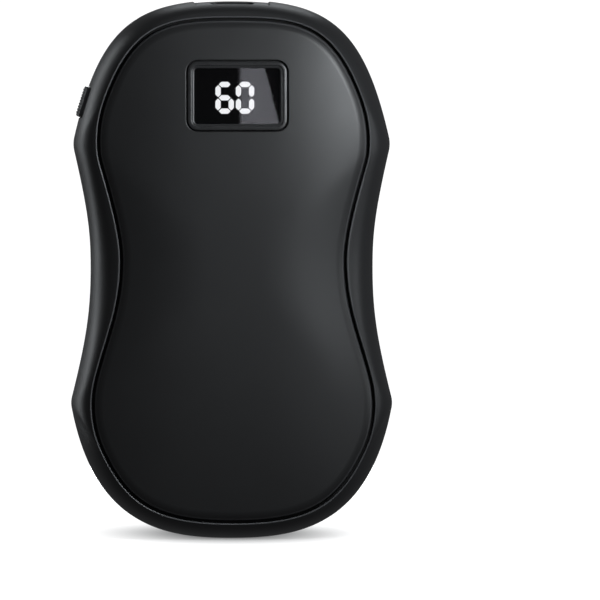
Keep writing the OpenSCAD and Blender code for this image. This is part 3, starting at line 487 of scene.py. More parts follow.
FINISHES: tuple[Finish, ...] = (
    # On the case and the cover the painted edge highlight is much lighter than on other moulded pieces.
    Moulded("case_black", (0.016, 0.0162, 0.017), 0.42, worn=0.06, painted_edge_highlight=6.0),
    Moulded("cover_black", (0.015, 0.0152, 0.0158), 0.42, worn=0.08, painted_edge_highlight=5.0),
    Moulded("bezel_black", (0.022, 0.0222, 0.0232), 0.34, grain=0.12, rise=0.0015, worn=0.1),
    Glass("window_dark", (0.002, 0.002, 0.0024), 0.004, cover=0.6),
    Moulded("display_black", (0.0025, 0.0025, 0.003), 0.7),
    Moulded("white_plastic", (0.8, 0.8, 0.78), 0.42),
    Lit("digits_lit", (0.9, 0.9, 0.92), 0.4, glow=5.4),
    Moulded("digits_dark", (0.0045, 0.0045, 0.005), 0.6),
    Moulded("button_grey", (0.05, 0.0503, 0.052), 0.45, grain=0.15, worn=0.1),
    Moulded("chip_black", (0.02, 0.02, 0.02), 0.5),
    Metal("spring_steel", (0.6, 0.6, 0.62), 0.3),
    Moulded("panel_black", (0.013, 0.013, 0.0138), 0.38, grain=0.14, rise=0.002),
    Metal("socket_steel", (0.62, 0.62, 0.64), 0.3),
    Metal("contact_gold", (0.85, 0.65, 0.3), 0.25),
    Board("board_green", (0.015, 0.13, 0.06), 0.3),
    Moulded("ferrite_grey", (0.12, 0.12, 0.13), 0.6, grain=0.4, rise=0.01),
    Moulded("ceramic_tan", (0.45, 0.33, 0.2), 0.5),
    Metal("screw_steel", (0.5, 0.5, 0.52), 0.32, stretch=(1.0, 0.1, 1.0)),
    Wrap("cell_wrap", (0.03, 0.14, 0.42), 0.3),
    Metal("nickel", (0.62, 0.61, 0.57), 0.32, stretch=(0.08, 1.0, 1.0), dull=0.2),
    Moulded("paper", (0.75, 0.75, 0.68), 0.75, grain=0.3, rise=0.01),
    Moulded("lead_red", (0.5, 0.02, 0.02), 0.45),
    Moulded("lead_black", (0.015, 0.015, 0.015), 0.45),
    Metal("plate_aluminium", (0.78, 0.79, 0.8), 0.35, stretch=(1.0, 1.0, 0.06), scratch=0.2),
    Wrap("film_amber", (0.5, 0.2, 0.03), 0.28),
    Foam("foam_white", (0.75, 0.75, 0.72), 0.8),
    Foam("foam_dark", (0.04, 0.04, 0.04), 0.8),
)


class Dresser:
    """Holds one material for each finish and dresses pieces with them."""

    def __init__(self, finishes: Sequence[Finish]) -> None:
        """Builds every material once."""
        self.materials = {finish.slot: finish.material() for finish in finishes}

    def dress(self, piece: bpy.types.Object, slot: str, body: str, *nodes: str) -> bpy.types.Object:
        """Gives a new piece its finish and ties it to the frame.

        Args:
            piece: The finished piece.
            slot: The slot of its finish.
            body: The body that it moves with.
            nodes: The solids that it stands for.

        Returns:
            The same piece.
        """
        piece.data.materials.clear()
        piece.data.materials.append(self.materials[slot])
        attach(piece, body)
        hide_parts(*nodes)
        log.info("%s: %d faces", piece.name, len(piece.data.polygons))
        return piece

    def carry_over(self, nodes: dict[str, bpy.types.Object]) -> None:
        """Gives each solid that still shows the finish of its own slots.

        Args:
            nodes: The solids by name.
        """
        for name, solid in nodes.items():
            if solid.hide_render:
                continue
            for place in solid.material_slots:
                place.material = self.materials[place.material.name.split(".")[0]]
            log.info("%s carried over", name)


# Modelling helpers


def deselect() -> None:
    """Leaves nothing selected."""
    bpy.ops.object.select_all(action="DESELECT")


def pick(piece: bpy.types.Object) -> None:
    """Selects one piece alone and makes it the active one."""
    deselect()
    piece.select_set(True)
    bpy.context.view_layer.objects.active = piece


def tidy_mesh(piece: bpy.types.Object, angle: float = SHARP_ANGLE) -> None:
    """Merges doubled points, turns faces outwards and shades them.

    Args:
        piece: The piece.
        angle: Edges sharper than this, in degrees, stay sharp.
    """
    pick(piece)
    bpy.ops.object.mode_set(mode="EDIT")
    bpy.ops.mesh.select_all(action="SELECT")
    bpy.ops.mesh.remove_doubles(threshold=MERGE_DISTANCE)
    bpy.ops.mesh.normals_make_consistent(inside=False)
    bpy.ops.object.mode_set(mode="OBJECT")
    bpy.ops.object.shade_smooth_by_angle(angle=math.radians(angle))


def loft(name: str, rings: Sequence[np.ndarray], worn: Sequence[float] | None = None,
         angle: float = SHARP_ANGLE) -> bpy.types.Object:
    """Extrudes a circle once for each further ring and sets each ring in its place.

    A first and last ring that are the same close into a band, and a ring of one repeated point closes a pole.

    Args:
        name: Name of the piece.
        rings: Points of each ring in mm, all with the same count.
        worn: Mark of each ring: from 0 to 1 how far wear lowers its roughness, with a painted edge highlight
            that lightens its colour above 0.5; below 0, painted groove shade that turns it black.
        angle: Edges sharper than this, in degrees, stay sharp.

    Returns:
        The closed piece.
    """
    table = np.stack(rings) * MM
    deselect()
    bpy.ops.mesh.primitive_circle_add(vertices=table.shape[1], radius=float(np.ptp(table[..., 0])) / 2 + MM)
    piece = bpy.context.object
    piece.name = piece.data.name = name
    mesh = piece.data
    mesh.attributes.new("spot", "INT", "POINT").data.foreach_set("value", np.arange(table.shape[1]))
    bpy.ops.object.mode_set(mode="EDIT")
    bpy.ops.mesh.select_all(action="SELECT")
    for _ in rings[1:]:
        bpy.ops.mesh.extrude_edges_move(TRANSFORM_OT_translate={"value": (0, 0, MM)})
    bpy.ops.object.mode_set(mode="OBJECT")
    count = len(mesh.vertices)
    level = np.empty(count * 3)
    mesh.vertices.foreach_get("co", level)
    level = np.rint(level.reshape(-1, 3)[:, 2] / MM).astype(int)
    spot = np.empty(count, dtype=np.int32)
    mesh.attributes["spot"].data.foreach_get("value", spot)
    mesh.vertices.foreach_set("co", table[level, spot].ravel())
    mesh.attributes.remove(mesh.attributes["spot"])
    # Each ring's mark drives wear polish, the painted edge highlight and the painted groove shade in the
    # moulded finish.
    if worn is not None:
        marks = np.asarray(worn, dtype=float)[level]
        mesh.attributes.new("worn", "FLOAT", "POINT").data.foreach_set("value", marks)
    mesh.update()
    tidy_mesh(piece, angle)
    return piece


def carve(piece: bpy.types.Object, cutter: bpy.types.Object) -> None:
    """Cuts one piece out of another and removes the cutter."""
    pick(piece)
    cut = piece.modifiers.new("cut", "BOOLEAN")
    cut.operation = "DIFFERENCE"
    cut.solver = "EXACT"
    cut.object = cutter
    bpy.ops.object.modifier_apply(modifier=cut.name)
    bpy.data.objects.remove(cutter)


def join(name: str, pieces: Sequence[bpy.types.Object]) -> bpy.types.Object:
    """Joins pieces into one of that name."""
    deselect()
    for piece in pieces:
        piece.select_set(True)
    bpy.context.view_layer.objects.active = pieces[0]
    bpy.ops.object.join()
    pieces[0].name = pieces[0].data.name = name
    return pieces[0]


def copied(piece: bpy.types.Object, name: str, step: Sequence[float]) -> bpy.types.Object:
    """Copies a piece with its own mesh and moves the copy's points by a step in mm."""
    twin = piece.copy()
    twin.data = piece.data.copy()
    twin.name = twin.data.name = name
    bpy.context.scene.collection.objects.link(twin)
    pick(twin)
    bpy.ops.object.mode_set(mode="EDIT")
    bpy.ops.mesh.select_all(action="SELECT")
    bpy.ops.transform.translate(value=tuple(part * MM for part in step))
    bpy.ops.object.mode_set(mode="OBJECT")
    return twin


def rounded_ring(width: float, height: float, radius: float) -> np.ndarray:
    """Points round a rectangle with round corners, from the middle of its right side.

    Args:
        width: Width of the rectangle.
        height: Height of the rectangle.
        radius: Radius of its corners.

    Returns:
        The points, as rows of across and up.
    """
    points = []
    for quarter in range(4):
        spin = math.pi / 2 * quarter
        half_a, half_b = (width / 2, height / 2) if quarter % 2 == 0 else (height / 2, width / 2)
        turn = np.linspace(0, math.pi / 2, CORNER_STEPS + 1)
        arc = np.stack([half_a - radius + radius * np.cos(turn),
                        half_b - radius + radius * np.sin(turn)], 1)
        run = np.linspace(-(half_b - radius), half_b - radius, SIDE_STEPS + 1)[1:-1]
        side = np.stack([np.full_like(run, half_a), run], 1)
        local = np.concatenate([side, arc])
        cos, sin = math.cos(spin), math.sin(spin)
        points.append(local @ np.array([[cos, sin], [-sin, cos]]))
    return np.concatenate(points)


def fillet(start: tuple[float, float], centre: tuple[float, float], end: tuple[float, float],
           steps: int) -> list[tuple[float, float]]:
    """Points of a quarter round between two points about a centre, both ends included."""
    first, middle, last = np.array(start), np.array(centre), np.array(end)
    return [tuple(middle + (first - middle) * math.cos(turn) + (last - middle) * math.sin(turn))
            for turn in np.linspace(0, math.pi / 2, steps + 1)]


def pole(point: Sequence[float], ring: np.ndarray) -> np.ndarray:
    """One point, repeated as often as a ring has points."""
    return np.tile(point, (len(ring), 1))


def level_ring(flat: np.ndarray, height: float) -> np.ndarray:
    """Sets rows of x and y at one height."""
    return np.column_stack([flat, np.full(len(flat), height)])


def side_ring(flat: np.ndarray, x: Any) -> np.ndarray:
    """Sets rows of up and depth at a local x of the button, as local x, y and z."""
    return np.column_stack([np.broadcast_to(x, len(flat)), flat[:, 1], flat[:, 0]])


# Forms


@dataclass(frozen=True)
class Outline:
    """Outline of the case or a cover: foot, soft edge at the hips, waist, soft edge at the shoulders, top."""

    foot: float
    top: float
    hip: tuple[float, float, float]
    waist: tuple[float, float]
    shoulder: tuple[float, float, float]
    hip_leans: tuple[float, float]
    shoulder_leans: tuple[float, float]
    reaches: tuple[tuple[float, float], ...]
    steps: tuple[int, ...] = (40, 14, 14, 44)
    arc_steps: int = 12

    @staticmethod
    def way(lean: float) -> np.ndarray:
        """Direction that leans by an angle in degrees from upright."""
        return np.array([-math.sin(math.radians(lean)), math.cos(math.radians(lean))])

    def arc(self, form: tuple[float, float, float], leans: tuple[float, float], inset: float) -> np.ndarray:
        """A soft edge's round, drawn in by an inset."""
        half, height, radius = form
        small = max(radius - inset, radius / 5)
        turn = np.radians(np.linspace(-leans[0], leans[1], self.arc_steps + 1))
        return np.stack([half - inset - small + small * np.cos(turn), height + small * np.sin(turn)], 1)

    @staticmethod
    def curve(start: np.ndarray, start_way: np.ndarray, end: np.ndarray, end_way: np.ndarray,
              reach: tuple[float, float], shares: np.ndarray) -> np.ndarray:
        """Points at some shares of a smooth curve.

        Args:
            start: Where it starts.
            start_way: Direction in which it starts.
            end: Where it ends.
            end_way: Direction in which it ends.
            reach: How far it keeps to each direction, as shares of its span.
            shares: Where on the curve the points lie, from 0 to 1.

        Returns:
            The points.
        """
        span = np.linalg.norm(end - start)
        near, far = start + start_way * reach[0] * span, end - end_way * reach[1] * span
        part = np.asarray(shares)[:, None]
        rest = 1 - part
        return rest**3 * start + 3 * rest**2 * part * near + 3 * rest * part**2 * far + part**3 * end

    def half(self, inset: float = 0.0) -> np.ndarray:
        """Points of the right half, from the foot to the top."""
        hip = self.arc(self.hip, self.hip_leans, inset)
        shoulder = self.arc(self.shoulder, self.shoulder_leans, inset)
        low, high = np.array([0, self.foot + inset]), np.array([0, self.top - inset])
        middle = np.array([self.waist[0] - inset, self.waist[1]])
        flat, up = np.array([1, 0]), np.array([0, 1])
        runs = [(low, flat, hip[0], self.way(-self.hip_leans[0])),
                (hip[-1], self.way(self.hip_leans[1]), middle, up),
                (middle, up, shoulder[0], self.way(-self.shoulder_leans[0])),
                (shoulder[-1], self.way(self.shoulder_leans[1]), high, -flat)]
        curves = [self.curve(*run, reach, np.arange(1, steps) / steps)
                  for run, reach, steps in zip(runs, self.reaches, self.steps)]
        return np.concatenate([low[None], curves[0], hip, curves[1], middle[None], curves[2], shoulder,
                               curves[3], high[None]])

    def ring(self, inset: float = 0.0) -> np.ndarray:
        """Points all round the outline, drawn in by an inset."""
        half = self.half(inset)
        return np.concatenate([half, half[-2:0:-1] * np.array([-1, 1])])


CASE_OUTLINE = Outline(
    foot=0.0, top=102.25, hip=(30.5, 25.7, 4.8), waist=(26.8, 51.4), shoulder=(30.05, 74.9, 6.0),
    hip_leans=(10.7, 14.0), shoulder_leans=(13.0, 12.8),
    reaches=((0.31, 0.6), (0.46, 0.33), (0.28, 0.54), (0.55, 0.46)))
COVER_OUTLINE = Outline(
    foot=3.4, top=98.85, hip=(26.65, 25.6, 20.6), waist=(21.25, 53.1), shoulder=(25.6, 75.6, 23.4),
    hip_leans=(25.4, 14.6), shoulder_leans=(6.0, 20.0),
    reaches=((0.52, 0.39), (0.38, 0.39), (0.34, 0.1), (0.54, 0.43)))


@dataclass(frozen=True)
class Form:
    """Sizes that the case halves and covers share. A depth runs from the middle plane towards a face."""

    case: Outline = CASE_OUTLINE
    cover: Outline = COVER_OUTLINE
    wall: float = 2.0
    groove: float = 0.5
    face_depth: float = 12.5
    crown: float = 2.4
    flat_share: float = 0.2
    crown_power: float = 2.3
    rim_depth: float = 9.9
    rim_end: float = 78.0
    seat_depth: float = 8.6
    ledge_depth: float = 7.4
    ledge_share: float = 0.86
    edge_round: float = 0.22
    panel_size: tuple[float, float] = (14.0, 11.6)
    panel_sink: float = 0.25
    panel_thick: float = 1.7
    panel_round: float = 1.0
    panel_gap: float = 0.1

    @property
    def middle(self) -> np.ndarray:
        """Middle of a cover, in x and z."""
        return np.array([0.0, (self.cover.foot + self.cover.top) / 2])

    def rim_share(self, angle: float) -> float:
        """How far from the case's outline to the cover's the rim has come at an angle of its round."""
        return (1 - math.cos(math.radians(angle))) / (1 - math.cos(math.radians(self.rim_end)))

    def rim_share_at(self, depth: float) -> float:
        """The same share at a depth."""
        lift = min(1.0, depth / self.rim_depth) * math.sin(math.radians(self.rim_end))
        return self.rim_share(math.degrees(math.asin(lift)))

    def crown_at(self, share: np.ndarray) -> np.ndarray:
        """Depth of a cover's face at a share of the way from its middle to its edge."""
        slope = np.maximum(0, (np.asarray(share) - self.flat_share) / (1 - self.flat_share))
        return self.face_depth - self.crown * slope**self.crown_power

    def share_at(self, points: np.ndarray) -> np.ndarray:
        """Share of the way from the middle of a cover to its edge.

        Args:
            points: Rows of x and z.

        Returns:
            One share for each point.
        """
        edge = self.cover.ring(self.groove / 2) - self.middle
        angle = np.arctan2(edge[:, 1], edge[:, 0])
        order = np.argsort(angle)
        away = points - self.middle
        reach = np.interp(np.arctan2(away[:, 1], away[:, 0]), angle[order], np.hypot(*edge.T)[order],
                          period=2 * math.pi)
        return np.hypot(*away.T) / reach

    def end_height(self, across: np.ndarray, depth: np.ndarray) -> np.ndarray:
        """Height of the case's top end.

        Args:
            across: Distances from the middle, along X.
            depth: Distances from the middle plane.

        Returns:
            One height for each pair.
        """
        outer, inner = (outline.half()[-outline.steps[3] - 1:][::-1] for outline in (self.case, self.cover))
        share = np.array([self.rim_share_at(abs(one)) for one in depth])
        high = np.interp(np.abs(across), outer[:, 0], outer[:, 1])
        low = np.interp(np.abs(across), inner[:, 0], inner[:, 1])
        return high + (low - high) * share


FORM = Form()


def at_depth(points: np.ndarray, depth: Any, face: Face) -> np.ndarray:
    """Places rows of x and z at a depth on one side of the case."""
    return np.stack([points[:, 0], face.value * np.broadcast_to(depth, len(points)), points[:, 1]], 1)


@dataclass(frozen=True)
class ButtonPlace:
    """Where the button sits: local X runs into the case and local Z up its side."""

    share: float = 0.115
    step: float = 0.01
    form: Form = FORM

    def frame(self) -> tuple[np.ndarray, float]:
        """Point on the left side, as x and z, and the lean there in radians."""
        outline = self.form.case
        start = outline.arc(outline.shoulder, outline.shoulder_leans, 0)[-1]
        near, far = outline.curve(
            start, outline.way(outline.shoulder_leans[1]), np.array([0, outline.top]), np.array([-1, 0]),
            outline.reaches[3], np.array([self.share, self.share + self.step]))
        run = far - near
        return near * np.array([-1, 1]), math.atan2(-run[0], run[1])

    def placed(self, points: np.ndarray) -> np.ndarray:
        """Turns rows of local x, y and z into the frame."""
        origin, lean = self.frame()
        x, y, z = points.T
        return np.stack([origin[0] + x * math.cos(lean) + z * math.sin(lean), y,
                         origin[1] - x * math.sin(lean) + z * math.cos(lean)], 1)


@dataclass
class CaseHalf:
    """Front or rear half of the case: rounded rim, groove wall, seat for the cover and lip at the seam."""

    face: Face
    form: Form = FORM
    rim_steps: int = 24
    seam: float = 0.15
    lip_thick: float = 0.9
    lip_height: float = 0.8
    lip_gap: float = 0.1
    overrun: float = 1.0
    slot_size: tuple[float, float, float] = (6.2, 8.3, 0.75)
    slot_deep: float = 3.25
    slot_out: float = 0.75
    notch_deep: float = 7.35
    recess_spread: float = 0.4
    wall_shares: tuple[float, ...] = (1.0, 0.8, 0.6, 0.4, 0.2)
    seam_worn: float = 0.2
    rim_worn: float = 0.35
    # The crest's mark lowers roughness and paints a highlight line along the rim's inner edge.
    crest_wear_and_highlight: float = 0.8
    # The groove's marks: 1 paints a highlight line on its rounded edge and lowers roughness, -1 paints its
    # floor and walls black as painted shade.
    groove_highlight_and_shade: tuple[float, ...] = (1.0,) * 5 + (0.0,) + (-1.0,) * 4

    def rim(self) -> tuple[list[np.ndarray], list[float]]:
        """Rings of the rim from the seam to the groove, and each ring's mark for wear polish and painted
        highlight.
        """
        form = self.form
        rings = [at_depth(form.case.ring(inset), depth, self.face)
                 for inset, depth in fillet((self.seam, 0), (self.seam, self.seam), (0, self.seam), 3)[:-1]]
        worn = [self.seam_worn] * len(rings)
        outer, inner = form.case.ring(), form.cover.ring(-form.groove / 2 - form.edge_round)
        for step in range(self.rim_steps + 1):
            angle = form.rim_end * step / self.rim_steps
            depth = form.rim_depth * math.sin(math.radians(angle)) / math.sin(math.radians(form.rim_end))
            share = form.rim_share(angle)
            rings.append(at_depth(outer + (inner - outer) * share, max(self.seam, depth), self.face))
            worn.append(self.rim_worn * math.sin(math.pi * step / self.rim_steps))
        worn[-1] = self.crest_wear_and_highlight
        return rings, worn

    def groove_and_inside(self) -> list[np.ndarray]:
        """Rings from the groove's edge over the seat, down the wall and round the lip."""
        form, small = self.form, self.form.edge_round
        depth = form.rim_depth
        rings = [at_depth(form.cover.ring(-form.groove / 2 - out), high, self.face)
                 for out, high in fillet((small, depth), (small, depth - small), (0, depth - small), 6)[1:]]
        rings.append(at_depth(form.cover.ring(-form.groove / 2), form.seat_depth, self.face))
        ledge = form.middle + (form.cover.ring() - form.middle) * form.ledge_share
        rings += [at_depth(ledge, form.seat_depth, self.face), at_depth(ledge, form.ledge_depth, self.face)]
        outer, inner = form.case.ring(form.wall), form.cover.ring(form.wall - form.groove / 2)
        for part in self.wall_shares:
            high = form.ledge_depth * part
            rings.append(at_depth(outer + (inner - outer) * form.rim_share_at(high), high, self.face))
        gap = 0 if self.face is Face.FRONT else self.lip_gap
        lip = form.case.ring(form.wall - self.lip_thick - gap)
        end = -self.lip_height if self.face is Face.FRONT else self.lip_height + self.lip_gap
        rings += [at_depth(outer, end, self.face), at_depth(lip, end, self.face),
                  at_depth(lip, 0.0, self.face)]
        return rings

    def notch(self) -> bpy.types.Object:
        """Cutter for the port panel's opening and the sloped ends of its recess."""
        form = self.form
        wide, deep = (size + 2 * form.panel_gap for size in form.panel_size)
        floor = float(form.end_height(np.array([wide / 2]), np.array([0.0]))[0]) - form.panel_sink
        high = form.case.top - form.panel_sink + self.overrun + self.recess_spread
        levels = [(wide, form.case.top - self.notch_deep), (wide, floor),
                  (wide + 2 * (self.recess_spread + self.overrun), high)]
        rings = [level_ring(rounded_ring(width, deep, form.panel_round + form.panel_gap), height)
                 for width, height in levels]
        ends = [pole([0.0, 0.0, height], rings[0]) for _, height in (levels[0], levels[-1])]
        return loft("notch_cutter", [ends[0], *rings, ends[1]])

    def slot(self) -> bpy.types.Object:
        """Cutter for the button's slot in the left side."""
        up, deep, radius = self.slot_size
        flat = rounded_ring(up, deep, radius)
        levels = (-self.overrun - self.slot_out, self.slot_deep + self.overrun)
        rings = [ButtonPlace().placed(side_ring(flat, x)) for x in levels]
        ends = [ButtonPlace().placed(pole([x, 0.0, 0.0], flat)) for x in levels]
        return loft("slot_cutter", [ends[0], *rings, ends[1]])

    def build(self, dresser: Dresser) -> None:
        """Builds, cuts and dresses this half."""
        rings, worn = self.rim()
        inside = self.groove_and_inside()
        name = f"{self.face.name.lower()}_case_half"
        rest = [0.0] * (len(inside) - len(self.groove_highlight_and_shade))
        piece = loft(name, [*rings, *inside, rings[0]], [*worn, *self.groove_highlight_and_shade, *rest, worn[0]])
        carve(piece, self.notch())
        carve(piece, self.slot())
        tidy_mesh(piece)
        dresser.dress(piece, "case_black", "case", f"{self.face.name.lower()}_shell")


@dataclass(frozen=True)
class BezelPlace:
    """Where the display sits: across and up on the cover, which leans back there, and inwards."""

    across: float = 0.7
    up: float = 84.3
    proud: float = 0.02
    height: float = 13.1
    form: Form = FORM

    def crown_on_middle(self, height: float) -> float:
        """Depth of the cover's face on its middle line at a height."""
        middle = self.form.middle[1]
        return float(self.form.crown_at(abs(height - middle) / (self.form.cover.top - middle)))

    @property
    def face(self) -> float:
        """Depth of the bezel's front at its middle."""
        return self.crown_on_middle(self.up) + self.proud

    @property
    def tilt(self) -> float:
        """How far the bezel leans back, in radians."""
        half = self.height / 2
        fall = self.crown_on_middle(self.up - half) - self.crown_on_middle(self.up + half)
        return math.atan2(fall, self.height)

    def placed(self, flat: np.ndarray, inwards: Any) -> np.ndarray:
        """Places rows of across and up at a distance inwards from the bezel's front."""
        deep = np.broadcast_to(inwards, len(flat))
        cos, sin = math.cos(self.tilt), math.sin(self.tilt)
        return np.stack([self.across + flat[:, 0], -self.face + deep * cos + flat[:, 1] * sin,
                         self.up - deep * sin + flat[:, 1] * cos], 1)


BEZEL = BezelPlace()


@dataclass
class Cover:
    """Crowned cover with a rolled edge; the front one has an opening for the bezel, with a wall round it."""

    face: Face
    form: Form = FORM
    thick: float = 1.3
    seat_share: float = 0.89
    roll_profile: tuple[tuple[float, float], ...] = (
        (0.0, 1.0), (0.06, 0.76), (0.13, 0.59), (0.22, 0.46), (0.33, 0.37), (0.48, 0.29), (0.68, 0.2),
        (0.92, 0.11), (1.25, 0.03), (1.6, 0.0))
    # Marks of the rolled edge: up to 1 they paint a highlight line along the cover's edge and lower
    # roughness, and the first, below 0, paints a little shade where the edge meets the groove.
    roll_wear_highlight_and_shade: tuple[float, ...] = (-0.4, 0.3, 1.0, 1.0, 0.8, 0.45, 0.3, 0.2, 0.1, 0.0)
    face_steps: int = 34
    under_steps: tuple[int, int] = (14, 16)
    search_steps: int = 40
    side_chamfer: float = 0.1
    opening: tuple[float, float, float] = (19.4, 13.6, 2.25)
    opening_round: float = 0.12
    opening_break: float = 0.35
    landing: float = 0.7
    wall_deep: float = 1.75

    def edge(self, inset: float = 0.0) -> np.ndarray:
        """The cover's own edge, drawn in by an inset."""
        return self.form.cover.ring(self.form.groove / 2 + inset)

    def crown(self, points: np.ndarray, drop: float = 0.0) -> np.ndarray:
        """Places rows of x and z on the crowned face, lowered by a drop."""
        return at_depth(points, self.form.crown_at(self.form.share_at(points)) - drop, self.face)

    def roll(self) -> list[np.ndarray]:
        """Rings of the rolled edge, from the cover's side inwards."""
        return [self.crown(self.edge(inset), drop) for inset, drop in self.roll_profile]

    def on_rays(self, size: tuple[float, float, float], targets: np.ndarray) -> np.ndarray:
        """Points of a rounded rectangle about the bezel's middle, on the rays to some targets.

        Args:
            size: Width, height and corner radius.
            targets: Rows of x and z.

        Returns:
            One point for each target, as across and up from the bezel's middle.
        """
        width, height, radius = size
        ray = targets - np.array([BEZEL.across, BEZEL.up])
        ray /= np.linalg.norm(ray, axis=1)[:, None]
        low, high = np.zeros(len(ray)), np.full(len(ray), width + height)
        for _ in range(self.search_steps):
            reach = (low + high) / 2
            corner = np.abs(ray * reach[:, None]) - np.array([width / 2 - radius, height / 2 - radius])
            gap = np.hypot(*np.maximum(corner, 0).T) + np.minimum(corner.max(axis=1), 0) - radius
            low, high = np.where(gap < 0, reach, low), np.where(gap < 0, high, reach)
        return ray * low[:, None]

    def from_bezel(self, flat: np.ndarray) -> np.ndarray:
        """Turns rows of across and up from the bezel's middle into rows of x and z."""
        return flat * np.array([1, math.cos(BEZEL.tilt)]) + np.array([BEZEL.across, BEZEL.up])

    def on_face(self, flat: np.ndarray, drop: float = 0.0) -> np.ndarray:
        """Places rows of across and up from the bezel's middle on the crowned face."""
        return self.crown(self.from_bezel(flat), drop)

    def lining(self, outer: np.ndarray, inner: np.ndarray, steps: int) -> list[np.ndarray]:
        """Rings under the face, from the inner one out to the outer one, which is included."""
        return [*(self.crown(ring, self.thick) for ring in reversed(self.spread(outer, inner, steps))),
                self.crown(outer, self.thick)]

    def spread(self, outer: np.ndarray, inner: np.ndarray, steps: int) -> list[np.ndarray]:
        """Flat rings between two, closer together near both, without either."""
        shares = (1 - np.cos(np.pi * np.arange(1, steps) / steps)) / 2
        return [outer + (inner - outer) * share for share in shares]

    def build(self, dresser: Dresser) -> None:
        """Builds and dresses the cover."""
        form = self.form
        seat = form.middle + (self.edge() - form.middle) * self.seat_share
        roll = self.roll()
        side = [at_depth(seat, form.seat_depth, self.face),
                at_depth(self.edge(self.side_chamfer), form.seat_depth, self.face),
                at_depth(self.edge(), form.seat_depth + self.side_chamfer, self.face)]
        inner_edge = self.edge(self.roll_profile[-1][0])
        if self.face is Face.REAR:
            centre = pole(form.middle, seat)
            under = [self.crown(centre, self.thick), *self.lining(seat, centre, self.under_steps[0])]
            top = [*(self.crown(ring) for ring in self.spread(inner_edge, centre, self.face_steps)),
                   self.crown(centre)]
        else:
            width, height, radius = self.opening
            hole = self.on_rays(self.opening, inner_edge)
            outset = [self.on_rays((width + 2 * out, height + 2 * out, radius + out), inner_edge)
                      for out in (self.opening_round, self.opening_round * self.opening_break)]
            landing = self.landing
            pad = self.on_rays((width + 2 * landing, height + 2 * landing, radius + landing), seat)
            hole_bottom = BEZEL.placed(hole, self.wall_deep)
            under = [hole_bottom, BEZEL.placed(pad, self.wall_deep), self.on_face(pad, self.thick),
                     *self.lining(seat, self.from_bezel(pad), self.under_steps[1])]
            rim_flat = self.from_bezel(outset[0])
            top = [*(self.crown(ring) for ring in self.spread(inner_edge, rim_flat, self.face_steps)),
                   self.on_face(outset[0]), self.on_face(outset[1], self.opening_round * self.opening_break),
                   self.on_face(hole, self.opening_round), hole_bottom]
        # The cover's sides get -1, painted shade in the groove; the rolled edge gets its own marks.
        worn = [0.0] * len(under) + [-1.0] * len(side) + list(self.roll_wear_highlight_and_shade) + [0.0] * len(top)
        piece = loft(f"{self.face.name.lower()}_soft_cover", [*under, *side, *roll, *top], worn)
        dresser.dress(piece, "cover_black", "case", f"{self.face.name.lower()}_cover")


